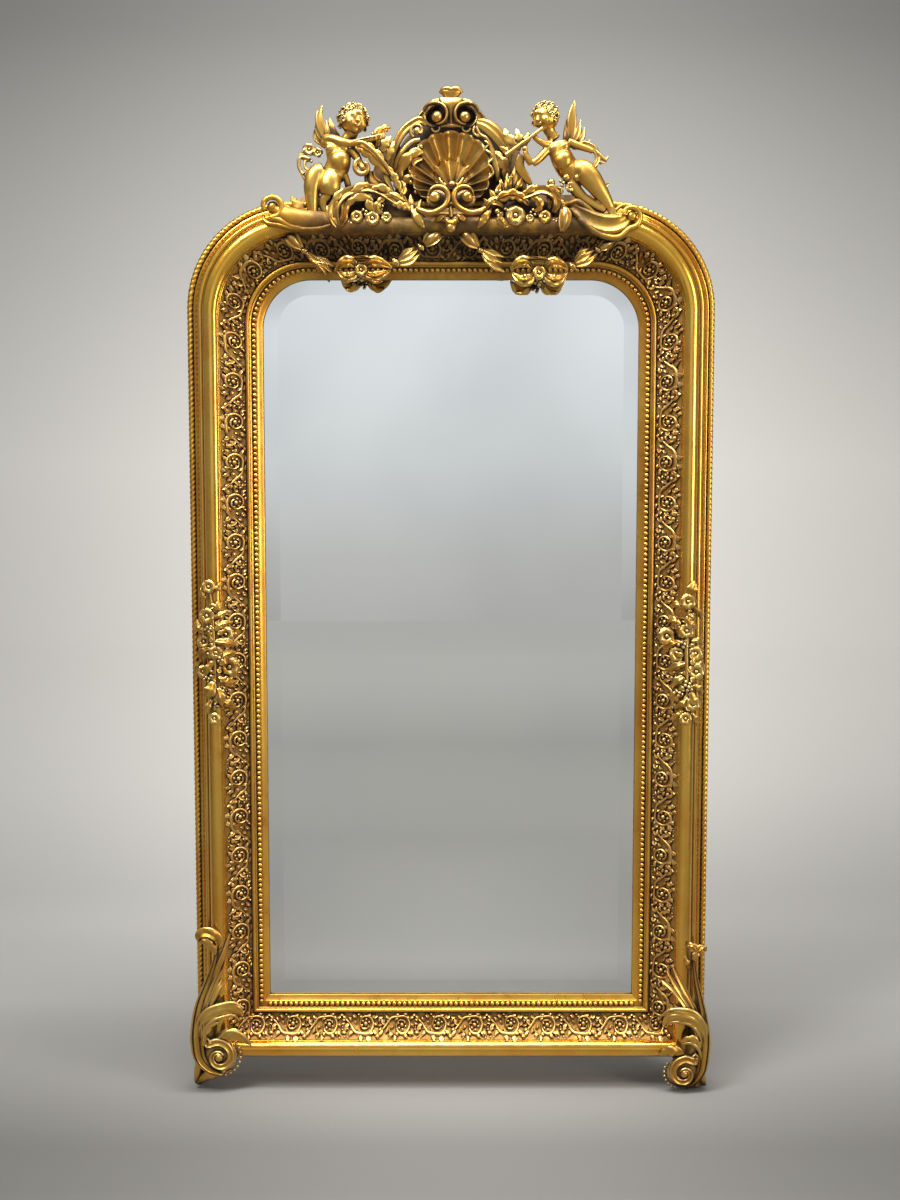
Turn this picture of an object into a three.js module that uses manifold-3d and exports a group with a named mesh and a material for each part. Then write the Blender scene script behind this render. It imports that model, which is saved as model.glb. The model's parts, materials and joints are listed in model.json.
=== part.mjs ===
// Gilded overmantel mirror with an arched head: a softwood carcass, run mouldings, a bevelled plate held
// from behind, and applied carved ornament. Millimetres, +Z up, the front faces -Y, the wall side +Y.
// Places on the frame are given by o, the distance outwards from the edge of the visible glass, and by h,
// the height above the wall face.
import * as THREE from "three";
import { mergeVertices } from "three/addons/utils/BufferGeometryUtils.js";
import Module from "manifold-3d";

const wasm = await Module();
wasm.setup();

// ---------------------------------------------------------------- driving sizes
const SIGHT_HALF = 372; // half the width of the glass that shows
const SIGHT_HEIGHT = 1447; // height of the glass that shows
const SIGHT_CORNER = 97; // radius of the sight's upper corners
const FRAME_CORNER = 209; // radius of the frame's upper corners
const HEAD_EXTRA = 3; // how much wider the head is than the sides
const FOOT_DROP = 58; // how far the corner scrolls stand below the bottom rail

const CARCASS_DEPTH = 23; // thickness of the softwood carcass
const REBATE_LAP = 15; // how far the backboards lap on to the carcass
const BACKBOARD_DEPTH = 10;
const BACKBOARD_COUNT = 4;
const BACKBOARD_INSET = 2; // backboards lie this far inside the wall face
const GLASS_LAP = 9; // how far the plate lies behind the sight edge
const GLASS_DEPTH = 5;
const GLASS_PLAY = 2; // room round the edge of the plate
const BEVEL_WIDTH = 39;
const BEVEL_DROP = 2.4;
const STRIP_WIDTH = 12; // strips that press the plate forward

const SLIP_WIDTH = 34; // sight edge, bead and astragal
const FRIEZE_WIDTH = 44; // hollow with the running scroll
const ROLL_WIDTH = 34; // burnished roll
const FILLET_WIDTH = 10; // small bead outside the roll
const SCOTIA_WIDTH = 12;
const ROPE_RADIUS = 7;
const PLINTH_EDGE = 7; // plain edge under the roll of the bottom rail

const SIGHT_LIP = 6; // thickness of the sight edge over the glass
const BEAD_TOP = 41.5; // tops and hollows of the mouldings, off the wall
const ASTRAGAL_TOP = 47;
const FRIEZE_LOW = 42;
const FRIEZE_HIGH = 75;
const ROLL_TOP = 92;
const FILLET_TOP = 69;
const SCOTIA_LOW = 40;

const SEAT = 0.3; // gap between pieces that bed on each other
const GRAIN = 0.12; // edges shorter than this are not kept where solids are joined or cut
const CORNER_STEPS = 6; // facets of a moulding round a corner

const TENON_LENGTH = 30;
const TENON_WIDTH = 60;
const TENON_DEPTH = 8;
const TONGUE_WIDTH = 40; // tongues under the crest board
const TONGUE_SPACING = 300;
const CREST_SHOULDER = 20; // height of the crest board's low arms
const CREST_NECK = 118; // width of its middle
const CREST_RISE = 126; // height of its middle

const RING_WIRE = 4.6; // hanger rings
const RING_WIDTH = 44;
const RING_DROP = 34;
const EYE_WALL = 2.4;
const RING_PLAY = 0.6;
const STRAP_WIDTH = 22;
const STRAP_LENGTH = 74;
const STRAP_GAUGE = 2.5;
const SCREW_HEAD = 9;
const SCREW_LIFT = 1.8;
const HANGER_BELOW_HEAD = 330; // hinge line below the top of the frame

const SHELL_WIDTH = 150;
const SHELL_HEIGHT = 112;
const SHELL_RIBS = 11;
const SHELL_SPREAD = 160; // degrees between its outer ribs
const SHELL_DISH = 24; // how far the rim stands forward of the root
const MOUNT_HEIGHT = 900; // middle of the side flowers above the feet
const FOOT_SOLE = 26; // width of the flat under each corner scroll
const FOOT_DEPTH = 86;

// ---------------------------------------------------------------- derived sizes
const FRIEZE_START = SLIP_WIDTH;
const ROLL_START = FRIEZE_START + FRIEZE_WIDTH;
const ROLL_END = ROLL_START + ROLL_WIDTH;
const FILLET_END = ROLL_END + FILLET_WIDTH;
const SCOTIA_END = FILLET_END + SCOTIA_WIDTH;
const ROPE_LINE = SCOTIA_END + SEAT + ROPE_RADIUS;
const SIDE_WIDTH = ROPE_LINE + ROPE_RADIUS;
const HEAD_WIDTH = SIDE_WIDTH + HEAD_EXTRA;
const RAIL_WIDTH = ROLL_END + PLINTH_EDGE;
const SIGHT_BOTTOM = FOOT_DROP + RAIL_WIDTH;
const SIGHT_TOP = SIGHT_BOTTOM + SIGHT_HEIGHT;
const FRAME_HALF = SIGHT_HALF + SIDE_WIDTH;
const FRAME_TOP = SIGHT_TOP + HEAD_WIDTH;
const BED = CARCASS_DEPTH + SEAT; // height at which the mouldings start
const GLASS_WALL = GLASS_LAP + GLASS_PLAY; // inner face of the carcass round the plate
const REBATE_WALL = GLASS_WALL + REBATE_LAP;
const REBATE_DEPTH = BACKBOARD_INSET + BACKBOARD_DEPTH + SEAT;
const GLASS_FACE = CARCASS_DEPTH + (BEVEL_DROP * (BEVEL_WIDTH - GLASS_LAP)) / BEVEL_WIDTH;
const HEAD_EDGE = SIGHT_TOP + (ROPE_LINE * HEAD_WIDTH) / SIDE_WIDTH; // top of the carcass

// ---------------------------------------------------------------- meshes and solids
const at = (x, z, h) => new THREE.Vector3(x, -h, z);

// A raw mesh { points, faces } moved outwards by grow, so that a neighbour cut by it keeps that clearance.
function grown({ points, faces }, grow) {
  const normals = points.map(() => []);
  for (const face of faces) {
    const [a, b, c] = face.map((i) => points[i]);
    const normal = b.clone().sub(a).cross(c.clone().sub(a));
    if (normal.length() < 1e-9) continue;
    normal.normalize();
    for (const i of face) normals[i].push(normal);
  }
  const moved = points.map((point, i) => {
    const step = new THREE.Vector3(); // reaches 1 along every normal that meets at the point
    for (let pass = 0; pass < 24; pass++) {
      for (const normal of normals[i]) {
        const short = 1 - step.dot(normal);
        if (short > 0) step.addScaledVector(normal, short);
      }
    }
    return point.clone().addScaledVector(step.clampLength(0, 5), grow);
  });
  return { points: moved, faces };
}

function volumeOf({ points, faces }) {
  let volume = 0;
  for (const [a, b, c] of faces) volume += points[a].dot(points[b].clone().cross(points[c])) / 6;
  return volume;
}

function outward(mesh) {
  if (volumeOf(mesh) > 0) return mesh;
  return { points: mesh.points, faces: mesh.faces.map(([a, b, c]) => [a, c, b]) };
}

function solidOf(mesh) {
  const vertProperties = new Float32Array(mesh.points.flatMap((point) => point.toArray()));
  const triVerts = new Uint32Array(mesh.faces.flat());
  return new wasm.Manifold(new wasm.Mesh({ numProp: 3, vertProperties, triVerts, tolerance: GRAIN }));
}

function join(meshes, grow = 0) {
  let joined = null;
  for (const mesh of meshes) {
    const solid = solidOf(grow > 0 ? grown(mesh, grow) : mesh);
    joined = joined ? joined.add(solid) : solid;
  }
  return joined;
}

// A three.js geometry as a raw mesh.
function rawOf(geometry) {
  const bare = geometry.index ? geometry.toNonIndexed() : geometry.clone();
  for (const name of Object.keys(bare.attributes)) if (name !== "position") bare.deleteAttribute(name);
  const merged = mergeVertices(bare, 1e-4);
  const points = [];
  const position = merged.attributes.position;
  for (let i = 0; i < position.count; i++) points.push(new THREE.Vector3().fromBufferAttribute(position, i));
  const faces = [];
  for (let i = 0; i < merged.index.count; i += 3) {
    const face = [merged.index.getX(i), merged.index.getX(i + 1), merged.index.getX(i + 2)];
    if (new Set(face).size === 3) faces.push(face);
  }
  return outward({ points, faces });
}

function geometryOf(solid) {
  const mesh = solid.getMesh();
  const position = new Float32Array(mesh.numVert * 3);
  for (let i = 0; i < mesh.numVert; i++) {
    position.set(mesh.vertProperties.subarray(i * mesh.numProp, i * mesh.numProp + 3), i * 3);
  }
  const geometry = new THREE.BufferGeometry();
  geometry.setAttribute("position", new THREE.BufferAttribute(position, 3));
  geometry.setIndex(new THREE.BufferAttribute(mesh.triVerts, 1));
  geometry.computeVertexNormals();
  return geometry;
}

// A closed skin over rings of points; caps lists the triangles of the first ring.
function loft(rings, caps) {
  const count = rings[0].length;
  const faces = [];
  for (let r = 0; r + 1 < rings.length; r++) {
    for (let i = 0; i < count; i++) {
      const a = r * count + i;
      const b = r * count + ((i + 1) % count);
      faces.push([a, b, b + count], [a, b + count, a + count]);
    }
  }
  const last = (rings.length - 1) * count;
  for (const [a, b, c] of caps) faces.push([c, b, a], [last + a, last + b, last + c]);
  return outward({ points: rings.flat(), faces });
}

// The triangles that close a flat outline, turned the way the outline runs. The outline is bowed by a hair
// for this, so that a point in the middle of a straight edge keeps its triangle.
function capOf(outline) {
  const bowed = outline.map(({ x, y }) => new THREE.Vector2(x, y + 1e-5 * x * x));
  const triangles = THREE.ShapeUtils.triangulateShape(bowed, []);
  const area = (points) => Math.sign(THREE.ShapeUtils.area(points));
  const same = area(triangles[0].map((i) => outline[i])) === area(outline);
  return same ? triangles : triangles.map(([a, b, c]) => [c, b, a]);
}

const fan = (count) => Array.from({ length: count - 2 }, (_, i) => [0, i + 1, i + 2]);

function box(x0, x1, z0, z1, h0, h1) {
  const geometry = new THREE.BoxGeometry(x1 - x0, h1 - h0, z1 - z0);
  geometry.translate((x0 + x1) / 2, -(h0 + h1) / 2, (z0 + z1) / 2);
  return rawOf(geometry);
}

function ball(x, z, h, radius, across = 8, down = 5) {
  const geometry = new THREE.SphereGeometry(radius, across, down);
  geometry.translate(x, -h, z);
  return rawOf(geometry);
}

// An outline in x and z, extruded from height h0 to h1.
function plate(outline, h0, h1) {
  const geometry = new THREE.ExtrudeGeometry(outline, { depth: h1 - h0, bevelEnabled: false, steps: 1 });
  geometry.applyMatrix4(new THREE.Matrix4().makeBasis(at(1, 0, 0), at(0, 1, 0), at(0, 0, 1)));
  geometry.translate(0, -h0, 0);
  return rawOf(geometry);
}

// Keys of five numbers, x, z, h, half width and half depth, rounded into a finer list of the same.
function rounded(keys, steps) {
  const spine = new THREE.CatmullRomCurve3(keys.map(([x, z, h]) => new THREE.Vector3(x, h, z)));
  const sizes = new THREE.CatmullRomCurve3(keys.map(([, , , w, d]) => new THREE.Vector3(w, d, 0)));
  const count = (keys.length - 1) * steps;
  return Array.from({ length: count + 1 }, (_, i) => {
    const place = spine.getPoint(i / count);
    const size = sizes.getPoint(i / count);
    return [place.x, place.z, place.y, Math.max(size.x, 0.5), Math.max(size.y, 0.5)];
  });
}

// A carved strand with an oval section, for scroll bands, leaves, stems and limbs.
function strand(keys, { sides = 4, steps = 2, lobes = 0 } = {}) {
  const spine = rounded(keys, steps);
  const rings = spine.map(([x, z, h, w, d], i) => {
    const [x0, z0] = spine[Math.max(i - 1, 0)];
    const [x1, z1] = spine[Math.min(i + 1, spine.length - 1)];
    const run = new THREE.Vector2(x1 - x0, z1 - z0).normalize();
    const wave = lobes ? 0.72 + 0.28 * Math.abs(Math.cos((Math.PI * lobes * i) / (spine.length - 1))) : 1;
    return Array.from({ length: sides }, (_, s) => {
      const angle = Math.PI / 2 + (2 * Math.PI * s) / sides;
      const across = w * wave * Math.cos(angle);
      return at(x - run.y * across, z + run.x * across, h + d * Math.sin(angle));
    });
  });
  return loft(rings, fan(sides));
}

// Keys of a band that winds round a centre, from angle a0 to a1 in degrees and from radius r0 to r1.
function wound([x, z, h], [a0, a1], [r0, r1], [w0, w1], depth, rise = 0, turns = 6) {
  return Array.from({ length: turns + 1 }, (_, i) => {
    const t = i / turns;
    const angle = THREE.MathUtils.degToRad(THREE.MathUtils.lerp(a0, a1, t));
    const radius = THREE.MathUtils.lerp(r0, r1, t);
    const width = THREE.MathUtils.lerp(w0, w1, t);
    return [x + radius * Math.cos(angle), z + radius * Math.sin(angle), h + rise * t, width, depth];
  });
}

// A flower seen from the front: lobed rings that rise and dip to its eye.
function flower(x, z, h, radius, petals = 5) {
  const sides = petals * 2;
  const levels = [
    [0.7, 0, 0.05],
    [0.95, 0.5, 0.2],
    [0.3, 0.7, 0],
  ];
  const rings = levels.map(([reach, lift, lobe]) =>
    Array.from({ length: sides }, (_, s) => {
      const angle = (2 * Math.PI * s) / sides;
      const r = radius * reach * (1 + lobe * (Math.cos(petals * angle) - 0.4));
      return at(x + r * Math.cos(angle), z + r * Math.sin(angle), h + lift * radius);
    }),
  );
  return loft(rings, fan(sides));
}

// ---------------------------------------------------------------- assembly
const root = new THREE.Group();
root.name = "overmantel_mirror";
const standing = []; // what later ornament is scribed to

const finishes = {
  leaf: { color: 0xc8942a, roughness: 0.36, metalness: 1 },
  burnished: { color: 0xd79a3a, roughness: 0.24, metalness: 1 },
  pine: { color: 0x9a7748, roughness: 0.75, metalness: 0 },
  mirror: { color: 0xe4e8ea, roughness: 0.03, metalness: 1 },
  iron: { color: 0x4a4642, roughness: 0.55, metalness: 1 },
  brass: { color: 0xa98443, roughness: 0.38, metalness: 1 },
};

function add(name, solid, finish) {
  const mesh = new THREE.Mesh(geometryOf(solid), new THREE.MeshStandardMaterial(finishes[finish]));
  mesh.name = name;
  root.add(mesh);
}

function stand(meshes, cuts = []) {
  const solid = join(meshes, SEAT);
  standing.push(cuts.length ? solid.subtract(join(cuts)) : solid);
}

function overlapping(a, b) {
  const p = a.boundingBox();
  const q = b.boundingBox();
  return [0, 1, 2].every((k) => p.min[k] < q.max[k] && q.min[k] < p.max[k]);
}

const largest = (solid) =>
  solid.decompose().reduce((best, body) => (body.volume() > best.volume() ? body : best));

// The same solid without edges shorter than the grain.
function sanded(solid) {
  const { vertProperties, triVerts } = solid.getMesh();
  return new wasm.Manifold(new wasm.Mesh({ numProp: 3, vertProperties, triVerts, tolerance: GRAIN }));
}

// Joiner's pieces, made to their own drawn joints.
function lay(name, meshes, finish, cuts = []) {
  const solid = join(meshes);
  add(name, cuts.length ? solid.subtract(join(cuts)) : solid, finish);
}

// Carved pieces are scribed to everything that stands before them.
function carve(name, meshes, finish = "leaf") {
  let solid = join(meshes);
  for (const other of standing) if (overlapping(solid, other)) solid = solid.subtract(other);
  add(name, largest(sanded(largest(solid))), finish);
  stand(meshes);
}

// ---------------------------------------------------------------- guide lines of the frame
// A station maps o to a point of the plane, so a run of stations carries any section round the frame.
const cornerTurns = Array.from({ length: CORNER_STEPS + 1 }, (_, i) => (90 * i) / CORNER_STEPS);

function cornerStation(side, angle) {
  const turn = THREE.MathUtils.degToRad(angle);
  const point = (half, top, corner) =>
    new THREE.Vector2(half - corner + corner * Math.cos(turn), top - corner + corner * Math.sin(turn));
  const inner = point(SIGHT_HALF, SIGHT_TOP, SIGHT_CORNER);
  const outer = point(FRAME_HALF, FRAME_TOP, FRAME_CORNER);
  return (o) => {
    const place = inner.clone().lerp(outer, o / SIDE_WIDTH);
    return new THREE.Vector2(side * place.x, place.y);
  };
}

const mitreStation = (side) => (o) => new THREE.Vector2(side * (SIGHT_HALF + o), SIGHT_BOTTOM - o);

function squareStation(side, x, z) {
  return (o) => new THREE.Vector2(side * (x ?? SIGHT_HALF + o), z ?? SIGHT_BOTTOM - o);
}

function shifted(station, dx, dz) {
  return (o) => station(o).add(new THREE.Vector2(dx, dz));
}

const stileRun = (side) => [
  squareStation(side, undefined, FOOT_DROP),
  shifted(cornerStation(side, 0), 0, -SEAT / 2),
];
const railRun = [mitreStation(-1), mitreStation(1)];

function cornerRun(side) {
  const stations = cornerTurns.map((turn) => cornerStation(side, turn));
  stations[0] = shifted(stations[0], 0, SEAT / 2);
  return stations;
}
const headRun = [...cornerRun(-1), ...cornerRun(1).reverse()];

// A section given as points of o and h, carried along a run of stations.
function run(section, stations) {
  const outline = section.map(([o, h]) => new THREE.Vector2(o, h));
  const rings = stations.map((station) =>
    outline.map((point) => {
      const place = station(point.x);
      return at(place.x, place.y, point.y);
    }),
  );
  return loft(rings, capOf(outline));
}

// ---------------------------------------------------------------- sections of the mouldings
const curve = (count, point) => Array.from({ length: count + 1 }, (_, i) => point(i / count));
const arch = (t) => Math.sin(Math.PI * t);

// A half round from o0 to o1 that starts and ends at h0 and rises to h1.
const halfRound = (o0, o1, h0, h1, count) =>
  curve(count, (t) => [(o0 + o1) / 2 - ((o1 - o0) / 2) * Math.cos(Math.PI * t), h0 + (h1 - h0) * arch(t)]);

const slipSection = [
  [0, BED],
  [0, BED + SIGHT_LIP],
  [SLIP_WIDTH * 0.3, BED + SIGHT_LIP + 3],
  ...halfRound(SLIP_WIDTH * 0.31, SLIP_WIDTH * 0.64, BEAD_TOP - 5, BEAD_TOP, 4),
  ...halfRound(SLIP_WIDTH * 0.69, SLIP_WIDTH * 0.97, ASTRAGAL_TOP - 7, ASTRAGAL_TOP, 4),
  [SLIP_WIDTH - SEAT / 2, ASTRAGAL_TOP - 8],
  [SLIP_WIDTH - SEAT / 2, BED],
];
const friezeSection = [
  [FRIEZE_START + SEAT / 2, BED],
  ...curve(6, (t) => [
    FRIEZE_START + SEAT / 2 + (FRIEZE_WIDTH - SEAT) * t,
    FRIEZE_LOW + (FRIEZE_HIGH - FRIEZE_LOW) * (0.3 * t + 0.7 * t ** 3),
  ]),
  [ROLL_START - SEAT / 2, BED],
];
const rollSurface = [
  [ROLL_START + SEAT / 2, BED],
  [ROLL_START + SEAT / 2, FRIEZE_HIGH],
  ...halfRound(ROLL_START + 1, ROLL_END - 1, FRIEZE_HIGH + 1, ROLL_TOP, 7).slice(0, -1),
  [ROLL_END - 0.5, FILLET_TOP + 4],
  [ROLL_END, FILLET_TOP - 5],
];
const rollSection = [
  ...rollSurface,
  ...halfRound(ROLL_END + 0.3, FILLET_END, FILLET_TOP - 5, FILLET_TOP, 3),
  ...curve(3, (t) => [
    FILLET_END + 1 + (SCOTIA_WIDTH - 1) * t,
    SCOTIA_LOW + (FILLET_TOP - 8 - SCOTIA_LOW) * (1 - Math.sin((Math.PI * t) / 2)),
  ]),
  [SCOTIA_END, BED],
];
const plinthSection = [...rollSurface, [RAIL_WIDTH, FILLET_TOP - 8], [RAIL_WIDTH, BED]];
const ropeSection = curve(8, (t) => [
  ROPE_LINE - ROPE_RADIUS * Math.cos(2 * Math.PI * t),
  BED + ROPE_RADIUS + ROPE_RADIUS * Math.sin(2 * Math.PI * t),
]).slice(1);

// The face that ornament beds on: a coarser line drawn just over the mouldings, closed down to the wall.
const beddingInside = [
  [0, 0],
  [0, BED + SIGHT_LIP],
  [SLIP_WIDTH * 0.36, BEAD_TOP],
  [SLIP_WIDTH * 0.72, ASTRAGAL_TOP],
  [SLIP_WIDTH * 0.94, ASTRAGAL_TOP],
  [FRIEZE_START + FRIEZE_WIDTH * 0.6, FRIEZE_LOW + (FRIEZE_HIGH - FRIEZE_LOW) * 0.37],
  ...halfRound(ROLL_START - 0.4, ROLL_END + 0.4, FRIEZE_HIGH + 1, ROLL_TOP + 1.4, 4),
];
const bedding = [
  ...beddingInside,
  [ROLL_END + 0.4, FILLET_TOP - 0.2],
  [FILLET_END + 0.4, FILLET_TOP - 0.2],
  [SCOTIA_END, SCOTIA_LOW + 1],
  [ROPE_LINE + ROPE_RADIUS / 2, BED + 2 * ROPE_RADIUS],
  [SIDE_WIDTH, BED + ROPE_RADIUS * 1.5],
  [SIDE_WIDTH, 0],
];
const railBedding = [...beddingInside, [RAIL_WIDTH, FILLET_TOP], [RAIL_WIDTH, 0]];

// The space of the bottom rail between its mitres, as wide as clearance asks: what the stiles are mitred to.
function railSpace() {
  const { x: bottom } = mitreStation(1)(RAIL_WIDTH + 1);
  const low = SIGHT_BOTTOM - RAIL_WIDTH - 1;
  const corners = [[bottom, low], [SIGHT_HALF, SIGHT_BOTTOM], [-SIGHT_HALF, SIGHT_BOTTOM], [-bottom, low]];
  return plate(new THREE.Shape(corners.map(([x, z]) => new THREE.Vector2(x, z))), -1, ROLL_TOP + 10);
}

function buildMouldings() {
  const mitre = grown(railSpace(), SEAT);
  const sections = { slip: slipSection, frieze: friezeSection, roll_moulding: rollSection, rope_edge: ropeSection };
  for (const [kind, section] of Object.entries(sections)) {
    const finish = kind === "roll_moulding" ? "burnished" : "leaf";
    lay(`${kind}_left`, [run(section, stileRun(-1))], finish, [mitre]);
    lay(`${kind}_right`, [run(section, stileRun(1))], finish, [mitre]);
    lay(`${kind}_top`, [run(section, headRun)], finish);
  }
  lay("slip_bottom", [run(slipSection, railRun)], "leaf");
  lay("frieze_bottom", [run(friezeSection, railRun)], "leaf");
  lay("roll_moulding_bottom", [run(plinthSection, railRun)], "burnished");
  for (const side of [-1, 1]) stand([run(bedding, stileRun(side))], [railSpace()]);
  stand([run(bedding, headRun)]);
  stand([run(railBedding, railRun)]);
}

// ---------------------------------------------------------------- carcass
const carcassSection = (edge) => [
  [REBATE_WALL, 0],
  [edge, 0],
  [edge, CARCASS_DEPTH],
  [GLASS_WALL, CARCASS_DEPTH],
  [GLASS_WALL, REBATE_DEPTH],
  [REBATE_WALL, REBATE_DEPTH],
];

// A block in the middle of the carcass thickness: a tenon, or with play its mortise.
function tenon(side, [x0, x1], [z0, z1], play = 0) {
  const [left, right] = side < 0 ? [-x1, -x0] : [x0, x1];
  const middle = CARCASS_DEPTH / 2;
  const half = TENON_DEPTH / 2 + play;
  return box(left - play, right + play, z0 - play, z1 + play, middle - half, middle + half);
}

const middleLine = (REBATE_WALL + ROPE_LINE) / 2; // o of the middle of a stile
const around = (middle, width) => [middle - width / 2, middle + width / 2];

// The three joints of one side, each as a function of its play.
function jointsOf(side) {
  const railEnd = SIGHT_HALF + REBATE_WALL;
  const railMiddle = SIGHT_BOTTOM - (REBATE_WALL + RAIL_WIDTH) / 2;
  const spring = cornerStation(1, 0)(middleLine);
  const crown = cornerStation(1, 90)(middleLine);
  return {
    foot: (play) => tenon(side, [railEnd - TENON_LENGTH, railEnd + TENON_LENGTH], around(railMiddle, TENON_WIDTH / 2), play),
    shoulder: (play) => tenon(side, around(spring.x, TENON_WIDTH), around(spring.y, 2 * TENON_LENGTH), play),
    crown: (play) => tenon(side, around(crown.x, 2 * TENON_LENGTH), around(crown.y, TENON_WIDTH), play),
  };
}

function tongue(side, play = 0) {
  return tenon(side, around(TONGUE_SPACING / 2, TONGUE_WIDTH), around(HEAD_EDGE, TENON_LENGTH), play);
}

function buildCarcass() {
  for (const [side, name] of [[-1, "left"], [1, "right"]]) {
    const { foot, shoulder, crown } = jointsOf(side);
    const stile = run(carcassSection(ROPE_LINE), [
      squareStation(side, undefined, FOOT_DROP),
      shifted(cornerStation(side, 0), 0, -SEAT / 2),
    ]);
    const corner = cornerRun(side);
    corner[CORNER_STEPS] = shifted(corner[CORNER_STEPS], (side * SEAT) / 2, 0);
    lay(`carcass_stile_${name}`, [stile], "pine", [foot(SEAT), shoulder(SEAT)]);
    lay(`carcass_corner_${name}`, [run(carcassSection(ROPE_LINE), corner), shoulder(0), crown(0)], "pine");
  }
  const headEnds = [-1, 1].map((side) => shifted(cornerStation(side, 90), (-side * SEAT) / 2, 0));
  const headCuts = [-1, 1].flatMap((side) => [jointsOf(side).crown(SEAT), tongue(side, SEAT)]);
  lay("carcass_rail_top", [run(carcassSection(ROPE_LINE), headEnds)], "pine", headCuts);

  const shoulderEnd = SIGHT_HALF + GLASS_WALL - SEAT;
  const backEnd = SIGHT_HALF + REBATE_WALL - SEAT;
  lay("carcass_rail_bottom", [
    run(carcassSection(RAIL_WIDTH), [squareStation(-1, shoulderEnd), squareStation(1, shoulderEnd)]),
    box(-backEnd, backEnd, FOOT_DROP, SIGHT_BOTTOM - REBATE_WALL, 0, REBATE_DEPTH - SEAT),
    jointsOf(-1).foot(0),
    jointsOf(1).foot(0),
  ], "pine");
}

// ---------------------------------------------------------------- plate, strips and backboards
// The sight's outline moved outwards by o, as a closed shape with square bottom corners.
function sightOutline(o) {
  const corner = SIGHT_CORNER + o;
  const x = SIGHT_HALF - SIGHT_CORNER;
  const z = SIGHT_TOP - SIGHT_CORNER;
  const points = [new THREE.Vector2(SIGHT_HALF + o, SIGHT_BOTTOM - o)];
  for (const turn of cornerTurns) {
    const angle = THREE.MathUtils.degToRad(turn);
    points.push(new THREE.Vector2(x + corner * Math.cos(angle), z + corner * Math.sin(angle)));
  }
  const mirrored = points.map((point) => new THREE.Vector2(-point.x, point.y)).reverse();
  return [...points, ...mirrored];
}

function buildPlate() {
  const levels = [
    [GLASS_LAP, GLASS_FACE - GLASS_DEPTH],
    [GLASS_LAP, GLASS_FACE - BEVEL_DROP],
    [GLASS_LAP - BEVEL_WIDTH, GLASS_FACE],
  ];
  const rings = levels.map(([o, h]) => sightOutline(o).map((point) => at(point.x, point.y, h)));
  lay("mirror_plate", [loft(rings, capOf(sightOutline(0)))], "mirror");
}

function buildStrips() {
  const [near, far] = [GLASS_WALL - SEAT - STRIP_WIDTH, GLASS_WALL - SEAT];
  const [low, high] = [REBATE_DEPTH, GLASS_FACE - GLASS_DEPTH - SEAT];
  const section = [[near, low], [far, low], [far, high], [near, high]];
  const ring = (side, angle) => {
    const turn = THREE.MathUtils.degToRad(angle);
    return (o) => new THREE.Vector2(
      side * (SIGHT_HALF - SIGHT_CORNER + (SIGHT_CORNER + o) * Math.cos(turn)),
      SIGHT_TOP - SIGHT_CORNER + (SIGHT_CORNER + o) * Math.sin(turn),
    );
  };
  const corner = (side) => cornerTurns.map((turn) => ring(side, turn));
  for (const [side, name] of [[-1, "left"], [1, "right"]]) {
    const stations = [squareStation(side, undefined, SIGHT_BOTTOM - near), shifted(ring(side, 0), 0, -SEAT)];
    lay(`retaining_strip_${name}`, [run(section, stations)], "pine");
  }
  lay("retaining_strip_top", [run(section, [...corner(-1), ...corner(1).reverse()])], "pine");
  const end = SIGHT_HALF + far;
  const bottom = [squareStation(-1, end), squareStation(1, end)].map((station) => shifted(station, 0, -SEAT));
  lay("retaining_strip_bottom", [run(section, bottom)], "pine");
}

function buildBackboards() {
  const edge = REBATE_WALL - SEAT;
  const low = SIGHT_BOTTOM - edge;
  const pitch = (SIGHT_TOP + edge - low) / BACKBOARD_COUNT;
  const half = SIGHT_HALF + edge;
  const outline = new THREE.Shape(sightOutline(edge));
  for (let i = 0; i < BACKBOARD_COUNT; i++) {
    const [z0, z1] = [low + i * pitch + (i ? SEAT : 0), low + (i + 1) * pitch];
    const board = join([plate(outline, BACKBOARD_INSET, BACKBOARD_INSET + BACKBOARD_DEPTH)]);
    const slice = join([box(-half - 1, half + 1, z0, z1 + (i === BACKBOARD_COUNT - 1 ? 1 : 0), -1, CARCASS_DEPTH)]);
    add(`backboard_${i + 1}`, board.intersect(slice), "pine");
  }
}

// ---------------------------------------------------------------- hangers
const ringRadius = RING_WIRE / 2;
const eyeRadius = ringRadius + RING_PLAY + EYE_WALL;
const hingeHeight = FRAME_TOP - HANGER_BELOW_HEAD;
const hingeDepth = -SEAT - eyeRadius; // the eye just clears the back of the stile

// A solid turned about a line that lies along X.
function turned(profile, z, h, x0, x1, sides = 12) {
  const outline = curve(sides, (t) => [profile * Math.cos(2 * Math.PI * t), profile * Math.sin(2 * Math.PI * t)]);
  const rings = [x0, x1].map((x) => outline.slice(1).map(([dz, dh]) => at(x, z + dz, h + dh)));
  return loft(rings, fan(sides));
}

// The ring hangs below its pin: a straight top in the strap's eye and a rounded bow.
function ringWire(x) {
  const half = RING_WIDTH / 2 - ringRadius;
  const path = [];
  const bow = RING_DROP - RING_WIRE - half * 0.8;
  for (const t of curve(8, (u) => u)) {
    const angle = Math.PI * t;
    path.push([x + half * Math.cos(angle), hingeHeight - bow - half * 0.8 * Math.sin(angle)]);
  }
  path.push([x - half, hingeHeight], [x + half, hingeHeight]);
  return path;
}

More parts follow.
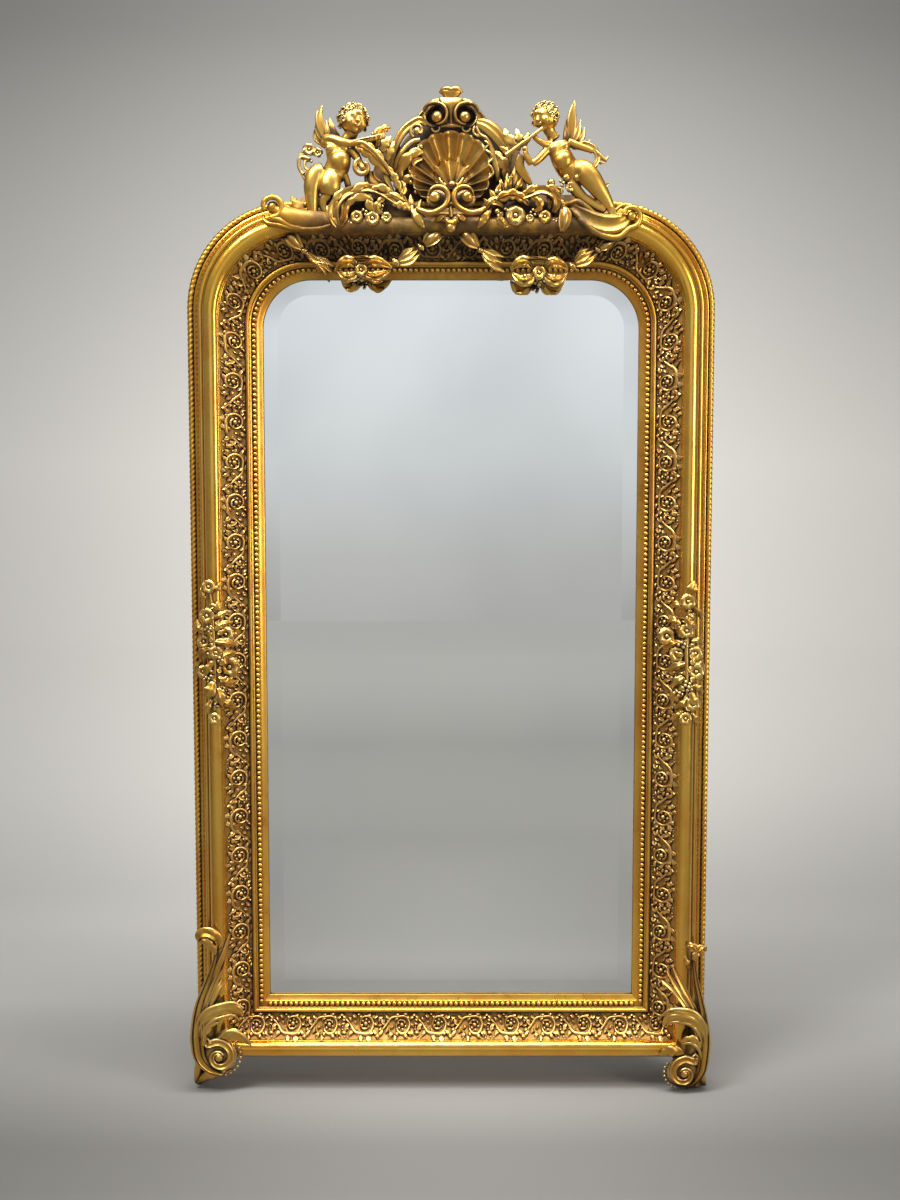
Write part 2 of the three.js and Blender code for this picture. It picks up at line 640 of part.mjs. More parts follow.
function closedTube(path, h, radius, sides = 6) {
  const points = path.flatMap(([x, z], i) => {
    const [px, pz] = path[(i + path.length - 1) % path.length];
    const [nx, nz] = path[(i + 1) % path.length];
    const after = new THREE.Vector2(nx - x, nz - z).normalize();
    const along = new THREE.Vector2(x - px, z - pz).normalize().add(after).normalize();
    const stretch = 1 / Math.max(along.dot(after), 0.5);
    return Array.from({ length: sides }, (_, s) => {
      const angle = (2 * Math.PI * (s + 0.5)) / sides;
      const across = radius * stretch * Math.cos(angle);
      return at(x - along.y * across, z + along.x * across, h + radius * Math.sin(angle));
    });
  });
  const faces = [];
  path.forEach((_, r) => {
    for (let s = 0; s < sides; s++) {
      const [a, b] = [r * sides + s, r * sides + ((s + 1) % sides)];
      const [c, d] = [a, b].map((i) => (i + sides) % points.length);
      faces.push([a, b, d], [a, d, c]);
    }
  });
  return outward({ points, faces });
}

function buildHangers() {
  const outer = -SEAT - STRAP_GAUGE;
  for (const [side, name] of [[-1, "left"], [1, "right"]]) {
    const x = side * (SIGHT_HALF + middleLine);
    const [x0, x1] = around(x, STRAP_WIDTH);
    const screws = [RING_DROP + SCREW_HEAD, STRAP_LENGTH - SCREW_HEAD].map((below) => {
      const head = new THREE.CylinderGeometry(SCREW_HEAD / 2, SCREW_HEAD / 3, SCREW_LIFT + 0.5, 8);
      head.translate(x, -outer + SCREW_LIFT / 2 - 0.25, 0);
      head.translate(0, 0, hingeHeight - below);
      return rawOf(head);
    });
    const bore = turned(ringRadius + RING_PLAY, hingeHeight, hingeDepth, x0 - 1, x1 + 1, 10);
    lay(`hanger_strap_${name}`, [
      box(x0, x1, hingeHeight - STRAP_LENGTH, hingeHeight, outer, -SEAT),
      turned(eyeRadius, hingeHeight, hingeDepth, x0, x1, 10),
      ...screws,
    ], "brass", [bore]);
    add(`hanger_ring_${name}`, join([closedTube(ringWire(x), hingeDepth, ringRadius)]), "iron");
  }
}

// ---------------------------------------------------------------- crest
// Crest keys are [x, z, h, w, d]: z from the top of the frame, h from the top of the roll.
const onHead = (keys, datum = ROLL_TOP) => keys.map(([x, z, h, w, d]) => [x, z + FRAME_TOP, h + datum, w, d]);
const onBoard = (keys) => onHead(keys, CARCASS_DEPTH);
const flip = (keys) => keys.map(([x, ...rest]) => [-x, ...rest]);

function buildCrestBoard() {
  const arm = FRAME_HALF - FRAME_CORNER - 10;
  const neck = CREST_NECK / 2;
  const low = HEAD_EDGE + SEAT;
  const shape = new THREE.Shape();
  shape.moveTo(-arm, low);
  shape.lineTo(arm, low);
  shape.quadraticCurveTo(arm, low + CREST_SHOULDER, arm - 30, low + CREST_SHOULDER);
  shape.lineTo(neck + 30, low + CREST_SHOULDER);
  shape.quadraticCurveTo(neck, low + CREST_SHOULDER, neck, low + CREST_SHOULDER + 30);
  shape.lineTo(neck, low + CREST_RISE - 40);
  shape.quadraticCurveTo(neck, low + CREST_RISE, 0, low + CREST_RISE);
  shape.quadraticCurveTo(-neck, low + CREST_RISE, -neck, low + CREST_RISE - 40);
  shape.lineTo(-neck, low + CREST_SHOULDER + 30);
  shape.quadraticCurveTo(-neck, low + CREST_SHOULDER, -neck - 30, low + CREST_SHOULDER);
  shape.lineTo(-arm + 30, low + CREST_SHOULDER);
  shape.quadraticCurveTo(-arm, low + CREST_SHOULDER, -arm, low);
  const outline = new THREE.Shape(shape.getPoints(5));
  const board = plate(outline, 0, CARCASS_DEPTH);
  lay("crest_board", [board, tongue(-1), tongue(1)], "pine");
  stand([board]);
}

// The scallop: ribs fan out from a root and the rim stands forward, so the shell is dished.
function shellMesh() {
  const rootHeight = FRAME_TOP + 15;
  const across = SHELL_RIBS * 2;
  const ringCount = 5;
  const front = [];
  const back = [];
  for (let r = 0; r <= ringCount; r++) {
    const out = 0.12 + (0.88 * r) / ringCount;
    for (let s = 0; s <= across; s++) {
      const share = s / across;
      const angle = THREE.MathUtils.degToRad(90 + SHELL_SPREAD * (0.5 - share));
      const rib = Math.abs(Math.sin(Math.PI * SHELL_RIBS * share));
      const reach = 1 / Math.hypot(Math.cos(angle) / (SHELL_WIDTH / 2), Math.sin(angle) / SHELL_HEIGHT);
      const radius = reach * out * (r === ringCount ? 0.94 + 0.06 * rib : 1);
      const x = radius * Math.cos(angle);
      const z = rootHeight + radius * Math.sin(angle);
      const h = CARCASS_DEPTH + 9 + SHELL_DISH * out ** 1.6 + 6 * out * rib;
      front.push(at(x, z, h));
      back.push(at(x, z, CARCASS_DEPTH + SEAT + Math.max(0, SHELL_DISH * (out - 0.55))));
    }
  }
  const row = across + 1;
  const offset = front.length;
  const faces = [];
  for (let r = 0; r < ringCount; r++) {
    for (let s = 0; s < across; s++) {
      const [a, b] = [r * row + s, r * row + s + 1];
      faces.push([a, b, b + row], [a, b + row, a + row]);
      const [c, d] = [a + offset, b + offset];
      faces.push([c, d + row, d], [c, c + row, d + row]);
    }
  }
  const rim = [];
  for (let s = 0; s <= across; s++) rim.push(s);
  for (let r = 1; r <= ringCount; r++) rim.push(r * row + across);
  for (let s = across - 1; s >= 0; s--) rim.push(ringCount * row + s);
  for (let r = ringCount - 1; r > 0; r--) rim.push(r * row);
  rim.forEach((a, i) => {
    const b = rim[(i + 1) % rim.length];
    faces.push([a, a + offset, b + offset], [a, b + offset, b]);
  });
  return outward({ points: [...front, ...back], faces });
}

function mirroredStrands(keys, options) {
  return [strand(onHead(keys), options), strand(onHead(flip(keys)), options)];
}

function buildCartouche() {
  const sideLeaf = [
    [-54, 86, 26, 3, 5],
    [-70, 86, 28, 7, 8],
    [-87, 74, 28, 8, 9],
    [-95, 56, 26, 8, 8],
    [-91, 33, 26, 7, 8],
    [-79, 10, 30, 7, 8],
    [-60, -5, 36, 3, 5],
  ];
  carve("shell", [
    shellMesh(),
    strand(onBoard(sideLeaf), { lobes: 4 }),
    strand(onBoard(flip(sideLeaf)), { lobes: 4 }),
  ]);
  const volute = wound([-31, -7, 4], [-110, 300], [31, 17], [9, 6], 13, 2, 9);
  carve("base_volutes", [
    ...mirroredStrands([[-70, -24, 0, 5, 7], [-54, -36, 2, 7, 10], ...volute], { steps: 1 }),
    ...[-1, 1].map((side) => ball(side * 31, -7 + FRAME_TOP, ROLL_TOP + 8, 15, 7, 5)),
    ...mirroredStrands([[-6, -28, 0, 8, 12], [-17, -51, -2, 8, 12], [-33, -66, -4, 2, 6]], { steps: 1 }),
    strand(onHead([[0, -17, 2, 10, 12], [0, -47, 2, 8, 12], [0, -74, -2, 2, 6]]), { steps: 1 }),
  ]);
  const crown = (side) => {
    const centre = [side * 29, 154 + FRAME_TOP, CARCASS_DEPTH + 38];
    const turns = side < 0 ? [200, -150] : [-20, 330];
    return [
      strand(wound(centre, turns, [27, 15], [9, 6], 13, 3, 9), { steps: 1 }),
      ball(centre[0], centre[1], centre[2] + 2, 13),
    ];
  };
  carve("crown_volutes", [
    ...crown(-1),
    ...crown(1),
    strand(onBoard([[-22, 196, 36, 7, 9], [0, 200, 38, 10, 13], [22, 196, 36, 7, 9]])),
    strand(onBoard([[0, 196, 34, 14, 10], [0, 173, 36, 10, 12], [0, 147, 36, 8, 12], [0, 116, 38, 3, 8]])),
  ]);
  const shoulder = [
    [-41, 143, 30, 6, 9],
    [-60, 139, 30, 10, 11],
    [-81, 126, 29, 12, 12],
    [-97, 109, 28, 12, 12],
    [-109, 90, 26, 10, 11],
    [-116, 71, 22, 8, 9],
    [-114, 48, 18, 7, 8],
    [-99, 25, 18, 5, 7],
    [-83, 10, 16, 3, 5],
  ];
  const eye = wound([-64, 124 + FRAME_TOP, CARCASS_DEPTH + 36], [60, -240], [13, 7], [5, 4], 9, 2, 6);
  for (const [turn, name] of [[(keys) => keys, "left"], [flip, "right"]]) {
    carve(`shoulder_scroll_${name}`, [strand(onBoard(turn(shoulder))), strand(turn(eye), { steps: 1 })]);
  }
}

function buildHeadScrolls() {
  const low = 2;
  carve("plinth_scroll_left", [
    strand(onHead([
      [-227, -17, low - 6, 3, 6], [-234, -36, low - 3, 8, 10], [-258, -47, low, 10, 13], [-289, -47, low, 12, 14],
      [-318, -39, low, 13, 14], [-343, -30, low - 2, 11, 13], [-359, -17, low - 4, 7, 10],
      [-355, -5, low - 6, 5, 8], [-341, -5, low - 6, 4, 7], [-335, -19, low - 6, 3, 6],
    ])),
    strand(onHead([[-271, -32, low - 6, 4, 7], [-287, -17, low - 8, 8, 8], [-298, 0, low - 10, 2, 4]]), { lobes: 2 }),
  ]);
  carve("plinth_scroll_right", [
    strand(onHead([
      [229, -15, low - 6, 3, 6], [246, -37, low - 3, 7, 10], [273, -56, low, 10, 13], [306, -68, low, 12, 14],
      [335, -72, low - 2, 11, 13], [355, -58, low - 4, 8, 10], [353, -37, low - 6, 6, 8],
      [335, -30, low - 6, 5, 7], [328, -43, low - 6, 3, 6],
    ])),
    strand(onHead([[298, -47, low - 6, 4, 7], [316, -30, low - 8, 8, 8], [331, -15, low - 10, 2, 4]]), { lobes: 2 }),
  ]);
  carve("acanthus_scroll_left", [
    strand(onHead([
      [-219, -75, low - 2, 3, 5], [-229, -51, low, 8, 9], [-225, -24, low, 10, 10], [-209, -5, low, 10, 11],
      [-182, 6, low, 10, 11], [-153, 10, low, 10, 11], [-124, 0, low - 2, 9, 10], [-105, -17, low - 4, 8, 9],
      [-81, -26, low - 6, 6, 8], [-68, -39, low - 8, 3, 5],
    ])),
    strand(onHead([[-145, 2, low - 4, 5, 7], [-165, -7, low - 2, 8, 8], [-172, -30, low - 4, 3, 5]]), { lobes: 2 }),
    flower(-182, -37 + FRAME_TOP, ROLL_TOP + low - 16, 17),
    flower(-130, -36 + FRAME_TOP, ROLL_TOP + low - 8, 18, 6),
    ball(-157, -47 + FRAME_TOP, ROLL_TOP + low - 4, 9, 6, 5),
  ]);
  carve("acanthus_scroll_right", [
    strand(onHead([
      [58, -17, low - 8, 3, 5], [79, -13, low - 6, 6, 8], [110, -5, low - 2, 8, 9], [140, 2, low, 9, 10],
      [167, 6, low, 10, 11], [190, -5, low, 9, 11], [202, -24, low, 8, 10], [196, -49, low - 4, 3, 5],
    ])),
    strand(onHead([[213, -19, low - 6, 4, 6], [217, -41, low, 10, 10], [215, -66, low - 6, 2, 4]])),
    flower(130, -34 + FRAME_TOP, ROLL_TOP + low - 8, 18),
    flower(174, -39 + FRAME_TOP, ROLL_TOP + low - 8, 15, 6),
    flower(101, -24 + FRAME_TOP, ROLL_TOP + low - 10, 14),
    ball(151, -41 + FRAME_TOP, ROLL_TOP + low - 4, 9, 6, 5),
  ]);
  const leaf = (x0, z0, x1, z1, width, h) => {
    const [mx, mz] = [x0 * 0.45 + x1 * 0.55, z0 * 0.45 + z1 * 0.55];
    return strand([
      [x0, z0 + FRAME_TOP, CARCASS_DEPTH + h, width * 0.45, 7],
      [mx, mz + FRAME_TOP, CARCASS_DEPTH + h + 6, width, 8],
      [x1, z1 + FRAME_TOP, CARCASS_DEPTH + h, 1.5, 3],
    ], { steps: 3, lobes: 3 });
  };
  carve("laurel_spray_left", [
    leaf(-78, -37, -126, 33, 9, 44),
    leaf(-79, -37, -107, 40, 8, 42),
    leaf(-76, -37, -134, 2, 8, 42),
  ]);
  carve("laurel_spray_right", [
    leaf(66, -17, 95, 59, 8, 40),
    leaf(72, -17, 126, 74, 12, 42),
    leaf(72, -19, 112, 37, 9, 46),
    leaf(79, -17, 149, 44, 10, 40),
  ]);
}

// ---------------------------------------------------------------- music-making children
const limb = (keys, sides = 6) => strand(onHead(keys), { sides });

// A head turned towards the angle it faces: plain in front, in rows of curls over the top and back.
function head(x, z, h, radius, face) {
  const gaze = at(Math.cos(THREE.MathUtils.degToRad(face)) * 0.8, -0.35, 0.5).normalize();
  const skull = rawOf(new THREE.SphereGeometry(1, 12, 8));
  const points = skull.points.map((point) => {
    const along = point.clone().normalize();
    const crown = along.dot(gaze) < 0.35;
    const curl = Math.round((Math.atan2(along.z, along.x) * 6) / Math.PI) % 2 ? 1.12 : 0.98;
    const nose = along.dot(gaze) > 0.96 ? 1.16 : 1;
    return along.multiplyScalar(radius * (crown ? curl : nose)).add(at(x, z + FRAME_TOP, h + ROLL_TOP));
  });
  return [{ points, faces: skull.faces }];
}

function buildChildren() {
  carve("cherub_left", [
    limb([[-252, 10, -16, 18, 17], [-242, 37, -14, 23, 20], [-227, 63, -12, 23, 20], [-213, 86, -12, 20, 17],
      [-202, 105, -12, 11, 12], [-194, 124, -12, 9, 10]]),
    limb([[-258, 21, -16, 14, 14], [-267, -1, -14, 12, 13], [-269, -22, -12, 9, 10], [-262, -37, -4, 7, 9],
      [-248, -43, 2, 6, 6]]),
    limb([[-244, 18, -10, 15, 15], [-231, 21, 2, 14, 14], [-229, 2, 2, 10, 11], [-229, -15, 0, 8, 9],
      [-217, -24, 4, 6, 6]]),
    limb([[-229, 86, -10, 10, 11], [-250, 93, -6, 9, 10], [-233, 101, 4, 8, 9], [-209, 99, 10, 7, 8]]),
    limb([[-202, 90, -10, 10, 11], [-184, 74, -4, 9, 10], [-169, 63, 2, 8, 9], [-159, 71, 6, 7, 8]]),
    ...head(-188, 141, -10, 26, -20),
  ]);
  carve("cherub_right", [
    limb([[238, 19, -16, 17, 17], [233, 42, -14, 22, 20], [219, 65, -12, 22, 20], [205, 88, -12, 19, 17],
      [196, 109, -12, 11, 12], [190, 128, -12, 9, 10]]),
    limb([[242, 29, -12, 16, 16], [266, 25, -2, 15, 15], [287, 4, 0, 12, 13], [302, -19, -2, 9, 10],
      [314, -39, 0, 7, 8]]),
    limb([[233, 18, -16, 14, 15], [234, -3, -12, 12, 13], [238, -22, -8, 9, 10], [246, -39, -2, 7, 8]]),
    limb([[198, 90, -10, 10, 11], [176, 71, -4, 9, 10], [155, 59, 4, 8, 9], [143, 74, 8, 7, 8],
      [140, 90, 8, 6, 7]]),
    limb([[207, 90, -10, 10, 11], [190, 95, 0, 9, 10], [174, 107, 6, 7, 8], [163, 116, 6, 6, 7]]),
    limb([[223, 97, -20, 5, 8], [254, 95, -18, 6, 9], [277, 86, -18, 7, 9], [283, 67, -18, 6, 8],
      [266, 48, -16, 5, 8]]),
    limb([[277, 78, -18, 6, 8], [291, 71, -18, 5, 7], [304, 78, -18, 2, 4]], 5),
    ...head(188, 150, -10, 26, 200),
  ]);
  const wing = (keys) => strand(onHead(keys), { steps: 3, lobes: 4 });
  carve("wings_left", [
    wing([[-231, 82, -28, 8, 7], [-250, 105, -30, 15, 8], [-254, 131, -32, 14, 7], [-250, 156, -34, 8, 5],
      [-250, 177, -36, 1.5, 2]]),
    wing([[-227, 90, -32, 9, 7], [-227, 112, -34, 11, 7], [-231, 131, -36, 8, 5], [-233, 148, -36, 1.5, 2]]),
  ]);
  carve("wings_right", [
    wing([[217, 86, -28, 8, 7], [234, 105, -30, 16, 8], [240, 131, -32, 14, 7], [238, 160, -34, 8, 5],
      [234, 186, -36, 1.5, 2]]),
    wing([[215, 90, -32, 9, 7], [225, 112, -34, 12, 7], [225, 133, -36, 7, 5], [223, 150, -36, 1.5, 2]]),
  ]);
  carve("violin_and_bow", [
    strand(onHead([
      [-194, 93, 8, 4, 5], [-174, 84, 8, 5, 6], [-157, 74, 6, 14, 8], [-143, 63, 4, 9, 8],
      [-128, 48, 2, 15, 8], [-116, 33, -2, 8, 6],
    ]), { steps: 3 }),
    strand(onHead([[-258, 101, 16, 2.5, 3], [-205, 99, 14, 2.5, 3], [-145, 90, 10, 2.5, 3]])),
    strand(onHead([[-149, 63, 0, 7, 8], [-141, 90, -4, 12, 8], [-130, 112, -6, 9, 7], [-114, 130, -8, 2, 3]]),
      { steps: 3, lobes: 3 }),
    strand(onHead([[-149, 48, -2, 6, 7], [-149, 29, -6, 11, 7], [-130, 10, -8, 7, 6]]), { lobes: 2 }),
  ]);
  carve("flute_and_foliage", [
    strand(onHead([[172, 128, 10, 3.5, 4], [141, 101, 8, 4, 5], [105, 73, 4, 5, 6]])),
    strand(onHead([[165, 109, 4, 6, 7], [145, 118, 3, 13, 10], [122, 122, 0, 13, 9], [107, 107, -4, 5, 5]]),
      { steps: 3, lobes: 3 }),
    strand(onHead([[157, 97, 2, 6, 7], [134, 93, 2, 11, 10], [110, 84, -2, 6, 6]]), { lobes: 2 }),
  ]);
}

// ---------------------------------------------------------------- garlands and flowers
function buildGarlands() {
  const bud = -20;
  const low = -38;
  carve("garland_left", [
    strand(onHead([
      [-320, -68, bud, 3, 4], [-308, -81, bud - 4, 9, 8], [-293, -96, bud - 8, 5, 6], [-283, -104, bud - 10, 4, 5],
      [-267, -115, bud - 14, 8, 8], [-244, -127, low + 2, 13, 9], [-219, -132, low, 10, 9], [-196, -138, low, 20, 12],
      [-171, -134, low, 17, 12], [-143, -138, low, 20, 12], [-118, -129, low, 11, 9], [-105, -121, low + 4, 5, 6],
      [-87, -113, low + 6, 10, 8], [-70, -102, bud - 12, 7, 7], [-58, -94, bud - 8, 4, 5],
      [-41, -83, bud - 4, 9, 8], [-25, -74, bud, 7, 7], [-17, -66, bud, 3, 4],
    ])),
  ]);
  carve("garland_right", [
    strand(onHead([
      [21, -66, bud, 3, 4], [31, -79, bud - 2, 9, 8], [45, -93, bud - 6, 7, 7], [58, -100, bud - 10, 4, 5],
      [72, -111, bud - 14, 9, 8], [95, -127, low + 2, 13, 9], [116, -134, low, 10, 9], [141, -144, low, 21, 12],
      [169, -140, low, 17, 12], [196, -144, low, 20, 12], [221, -134, low, 11, 9], [236, -129, low + 4, 5, 6],
      [256, -119, low + 6, 11, 8], [275, -106, bud - 12, 7, 7], [289, -96, bud - 8, 4, 5],
      [304, -89, bud - 4, 7, 7], [316, -85, bud, 3, 4],
    ])),
  ]);
}

// Side keys are [u, z, h, w, d]: u inwards from the side of the frame, z from the middle of the piece.
function buildSideMounts() {
  const onSide = (side, keys) =>
    keys.map(([u, z, h, w, d]) => [side * (FRAME_HALF - u), z + MOUNT_HEIGHT, h + ROLL_TOP, w, d]);
  const crest = ROLL_TOP + 1.4 + 2 * SEAT; // blooms stand on the crest of the roll
  for (const [side, name] of [[-1, "left"], [1, "right"]]) {
    const bloom = (u, z, radius, petals) => flower(side * (FRAME_HALF - u), z + MOUNT_HEIGHT, crest, radius, petals);
    carve(`side_flowers_${name}`, [
      strand(onSide(side, [
        [42, 127, 2, 4, 4], [52, 86, 2, 6, 4], [50, 16, 2, 6, 4], [50, -63, 2, 6, 4],
        [52, -138, 2, 4, 4],
      ]), { steps: 1 }),
      strand(onSide(side, [[44, 112, 4, 4, 5], [62, 88, 5, 10, 6], [77, 70, 2, 2, 3]])),
      strand(onSide(side, [[58, -71, 4, 5, 5], [42, -85, 5, 10, 5], [24, -100, 2, 2, 3]])),
      bloom(42, 127, 17, 5),
      bloom(42, 40, 18, 5),
      bloom(62, 1, 19, 5),
      bloom(42, -39, 18, 5),
      bloom(52, -140, 17, 5),
    ]);
  }
}

// ---------------------------------------------------------------- corner scrolls that carry the frame
// Foot keys are [u, z, h, w, d]: u inwards from the side of the frame, z from the level it stands on.
function buildCornerScrolls() {
  for (const [side, name, drop] of [[-1, "left", 0], [1, "right", 24]]) {
    const x = (u) => side * (FRAME_HALF - u);
    const onFoot = (keys, fall = 0) => keys.map(([u, z, h, w, d]) => [x(u), z - fall, h + ROLL_TOP, w, d]);
    const centre = { u: 56, z: 76 - drop };
    const volute = wound([centre.u, centre.z, 4], [200, 600], [40, 22], [12, 7], 14, 4, 9);
    const sole = new THREE.Shape();
    sole.moveTo(x(-4), 0);
    sole.lineTo(x(FOOT_SOLE - 4), 0);
    sole.lineTo(x(50), 16);
    sole.lineTo(x(88), FOOT_DROP + 6);
    sole.lineTo(x(4), FOOT_DROP + 6);
    sole.lineTo(x(4), 30);
    sole.lineTo(x(-4), 0);
    carve(`corner_scroll_${name}`, [
      plate(sole, SEAT, FOOT_DEPTH),
      strand([
        ...onFoot([
          [68, 272, 8, 2, 5], [48, 241, 8, 6, 9], [27, 199, 6, 9, 12], [13, 162, 2, 12, 15],
        ]),
        ...onFoot(volute),
      ], { steps: 1 }),
      ball(x(centre.u), centre.z, ROLL_TOP + 8, 17, 7, 5),
      strand(onFoot([[64, 234, 8, 2, 5], [41, 203, 8, 7, 11], [21, 158, 4, 9, 13], [11, 120, 0, 8, 12]])),
      strand(onFoot([
        [102, 174, -6, 5, 9], [78, 172, 4, 10, 12], [48, 166, 6, 10, 13], [17, 129, 2, 8, 12],
      ])),
      strand(onFoot([
        [121, 95, -2, 3, 8], [100, 114, 4, 11, 12], [72, 122, 6, 11, 13], [31, 100, 4, 8, 12],
      ], drop / 2), { lobes: 3 }),
      strand(onFoot([
        [54, 282, 4, 2, 5], [46, 311, 6, 7, 9], [29, 324, 8, 9, 11], [15, 309, -4, 7, 11],
        [15, 251, -14, 6, 12], [11, 168, -8, 8, 14],
      ])),
    ]);
  }
}

buildCarcass();
buildMouldings();
buildPlate();
buildStrips();
buildBackboards();
buildHangers();
buildCrestBoard();
buildCartouche();
buildHeadScrolls();
buildChildren();
buildGarlands();
buildSideMounts();
buildCornerScrolls();

// The part's origin is the middle of its footprint, at the level the feet stand on.
const bounds = new THREE.Box3().setFromObject(root);
root.position.set(-(bounds.min.x + bounds.max.x) / 2, -(bounds.min.y + bounds.max.y) / 2, -bounds.min.z);

export default root;
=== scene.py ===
"""Gilded overmantel mirror: fine surfaces, finishes, studio and camera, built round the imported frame."""

import json
import logging
import math
from dataclasses import dataclass
from enum import Enum
from typing import Callable, Iterable, Sequence

import bpy
import numpy as np
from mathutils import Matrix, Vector

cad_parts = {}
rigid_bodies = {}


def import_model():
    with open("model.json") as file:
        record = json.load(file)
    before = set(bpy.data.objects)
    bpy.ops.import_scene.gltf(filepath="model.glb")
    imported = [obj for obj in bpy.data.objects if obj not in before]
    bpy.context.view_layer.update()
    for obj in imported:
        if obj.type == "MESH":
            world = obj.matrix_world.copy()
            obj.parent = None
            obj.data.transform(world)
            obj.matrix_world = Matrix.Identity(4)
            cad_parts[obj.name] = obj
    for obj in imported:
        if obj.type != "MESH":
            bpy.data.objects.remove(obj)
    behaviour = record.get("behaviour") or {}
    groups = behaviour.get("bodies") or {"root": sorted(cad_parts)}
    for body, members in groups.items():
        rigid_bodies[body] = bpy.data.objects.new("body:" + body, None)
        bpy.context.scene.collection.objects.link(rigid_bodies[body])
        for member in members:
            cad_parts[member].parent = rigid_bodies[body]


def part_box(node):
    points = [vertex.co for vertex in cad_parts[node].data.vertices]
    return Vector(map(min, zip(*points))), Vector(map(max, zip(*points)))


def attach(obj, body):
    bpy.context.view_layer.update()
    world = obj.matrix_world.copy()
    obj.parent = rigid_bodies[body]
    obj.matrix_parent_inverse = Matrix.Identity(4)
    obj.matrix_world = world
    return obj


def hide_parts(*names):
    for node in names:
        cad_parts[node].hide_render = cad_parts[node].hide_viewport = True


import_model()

Array = np.ndarray
Colour = tuple[float, float, float]
Key = Sequence[float]
Row = float | Sequence[float]
Piece = bpy.types.Object
Material = bpy.types.Material
LOG = logging.getLogger("overmantel")
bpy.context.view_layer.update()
MM = 0.001
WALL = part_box("carcass_stile_left")[1].y / MM  # the wall plane's y, in millimetres
EASE_FROM = 98  # millimetres off the wall, past which carving is eased back
EASE_SHARE = 0.12
WELD_GAP = 0.004 * MM
SKIN_VOXEL = 1.25 * MM
CAMERA_BACK = 3.025  # metres in front of the wall
CAMERA_HEIGHT = 1.262
CAMERA_DIP = 5.172  # degrees below level


class Cut(Enum):
    """How the front of a carved band is cut across its width."""

    ROUND = "round"
    CHANNEL = "hollow between two raised rims"
    LEAF = "midrib and flutes"
    REED = "fine lengthwise reeds"


def metres(x: Array, z: Array, h: Array) -> Array:
    """Turns places on the frame into metres, and eases back what would stand out past the highest carving.

    Args:
        x: Millimetres across, to the right.
        z: Millimetres up from the feet.
        h: Millimetres in front of the wall.

    Returns:
        An array of points whose last axis is x, y, z.
    """
    eased = h - EASE_SHARE * np.maximum(h - EASE_FROM, 0)
    return np.stack([x, WALL - eased + 0 * x, z], axis=-1) * MM


def smooth_keys(keys: Sequence[Key], t: Array) -> Array:
    """Passes a smooth curve through keys.

    Args:
        keys: Rows of equal length; the first three columns are a place.
        t: Shares of the way along, from 0 to 1, counted in keys.

    Returns:
        One row for each entry of t.
    """
    k = np.array(keys, float)
    if len(k) == 2:
        return k[0] + (k[1] - k[0]) * t[:, None]
    gaps = np.sqrt(np.maximum(np.linalg.norm(np.diff(k[:, :3], axis=0), axis=1), 1e-6))
    knots = np.concatenate([[0], np.cumsum(gaps)])
    slopes = np.gradient(k, knots, axis=0, edge_order=1)
    place = np.interp(np.clip(t, 0, 1) * (len(k) - 1), np.arange(len(k)), knots)
    i = np.clip(np.searchsorted(knots, place, side="right") - 1, 0, len(k) - 2)
    wide = (knots[i + 1] - knots[i])[:, None]
    s = (place - knots[i])[:, None] / wide
    a, b = k[i], k[i + 1]
    ma, mb = slopes[i] * wide, slopes[i + 1] * wide
    return ((2 * s**3 - 3 * s**2 + 1) * a + (s**3 - 2 * s**2 + s) * ma
            + (3 * s**2 - 2 * s**3) * b + (s**3 - s**2) * mb)


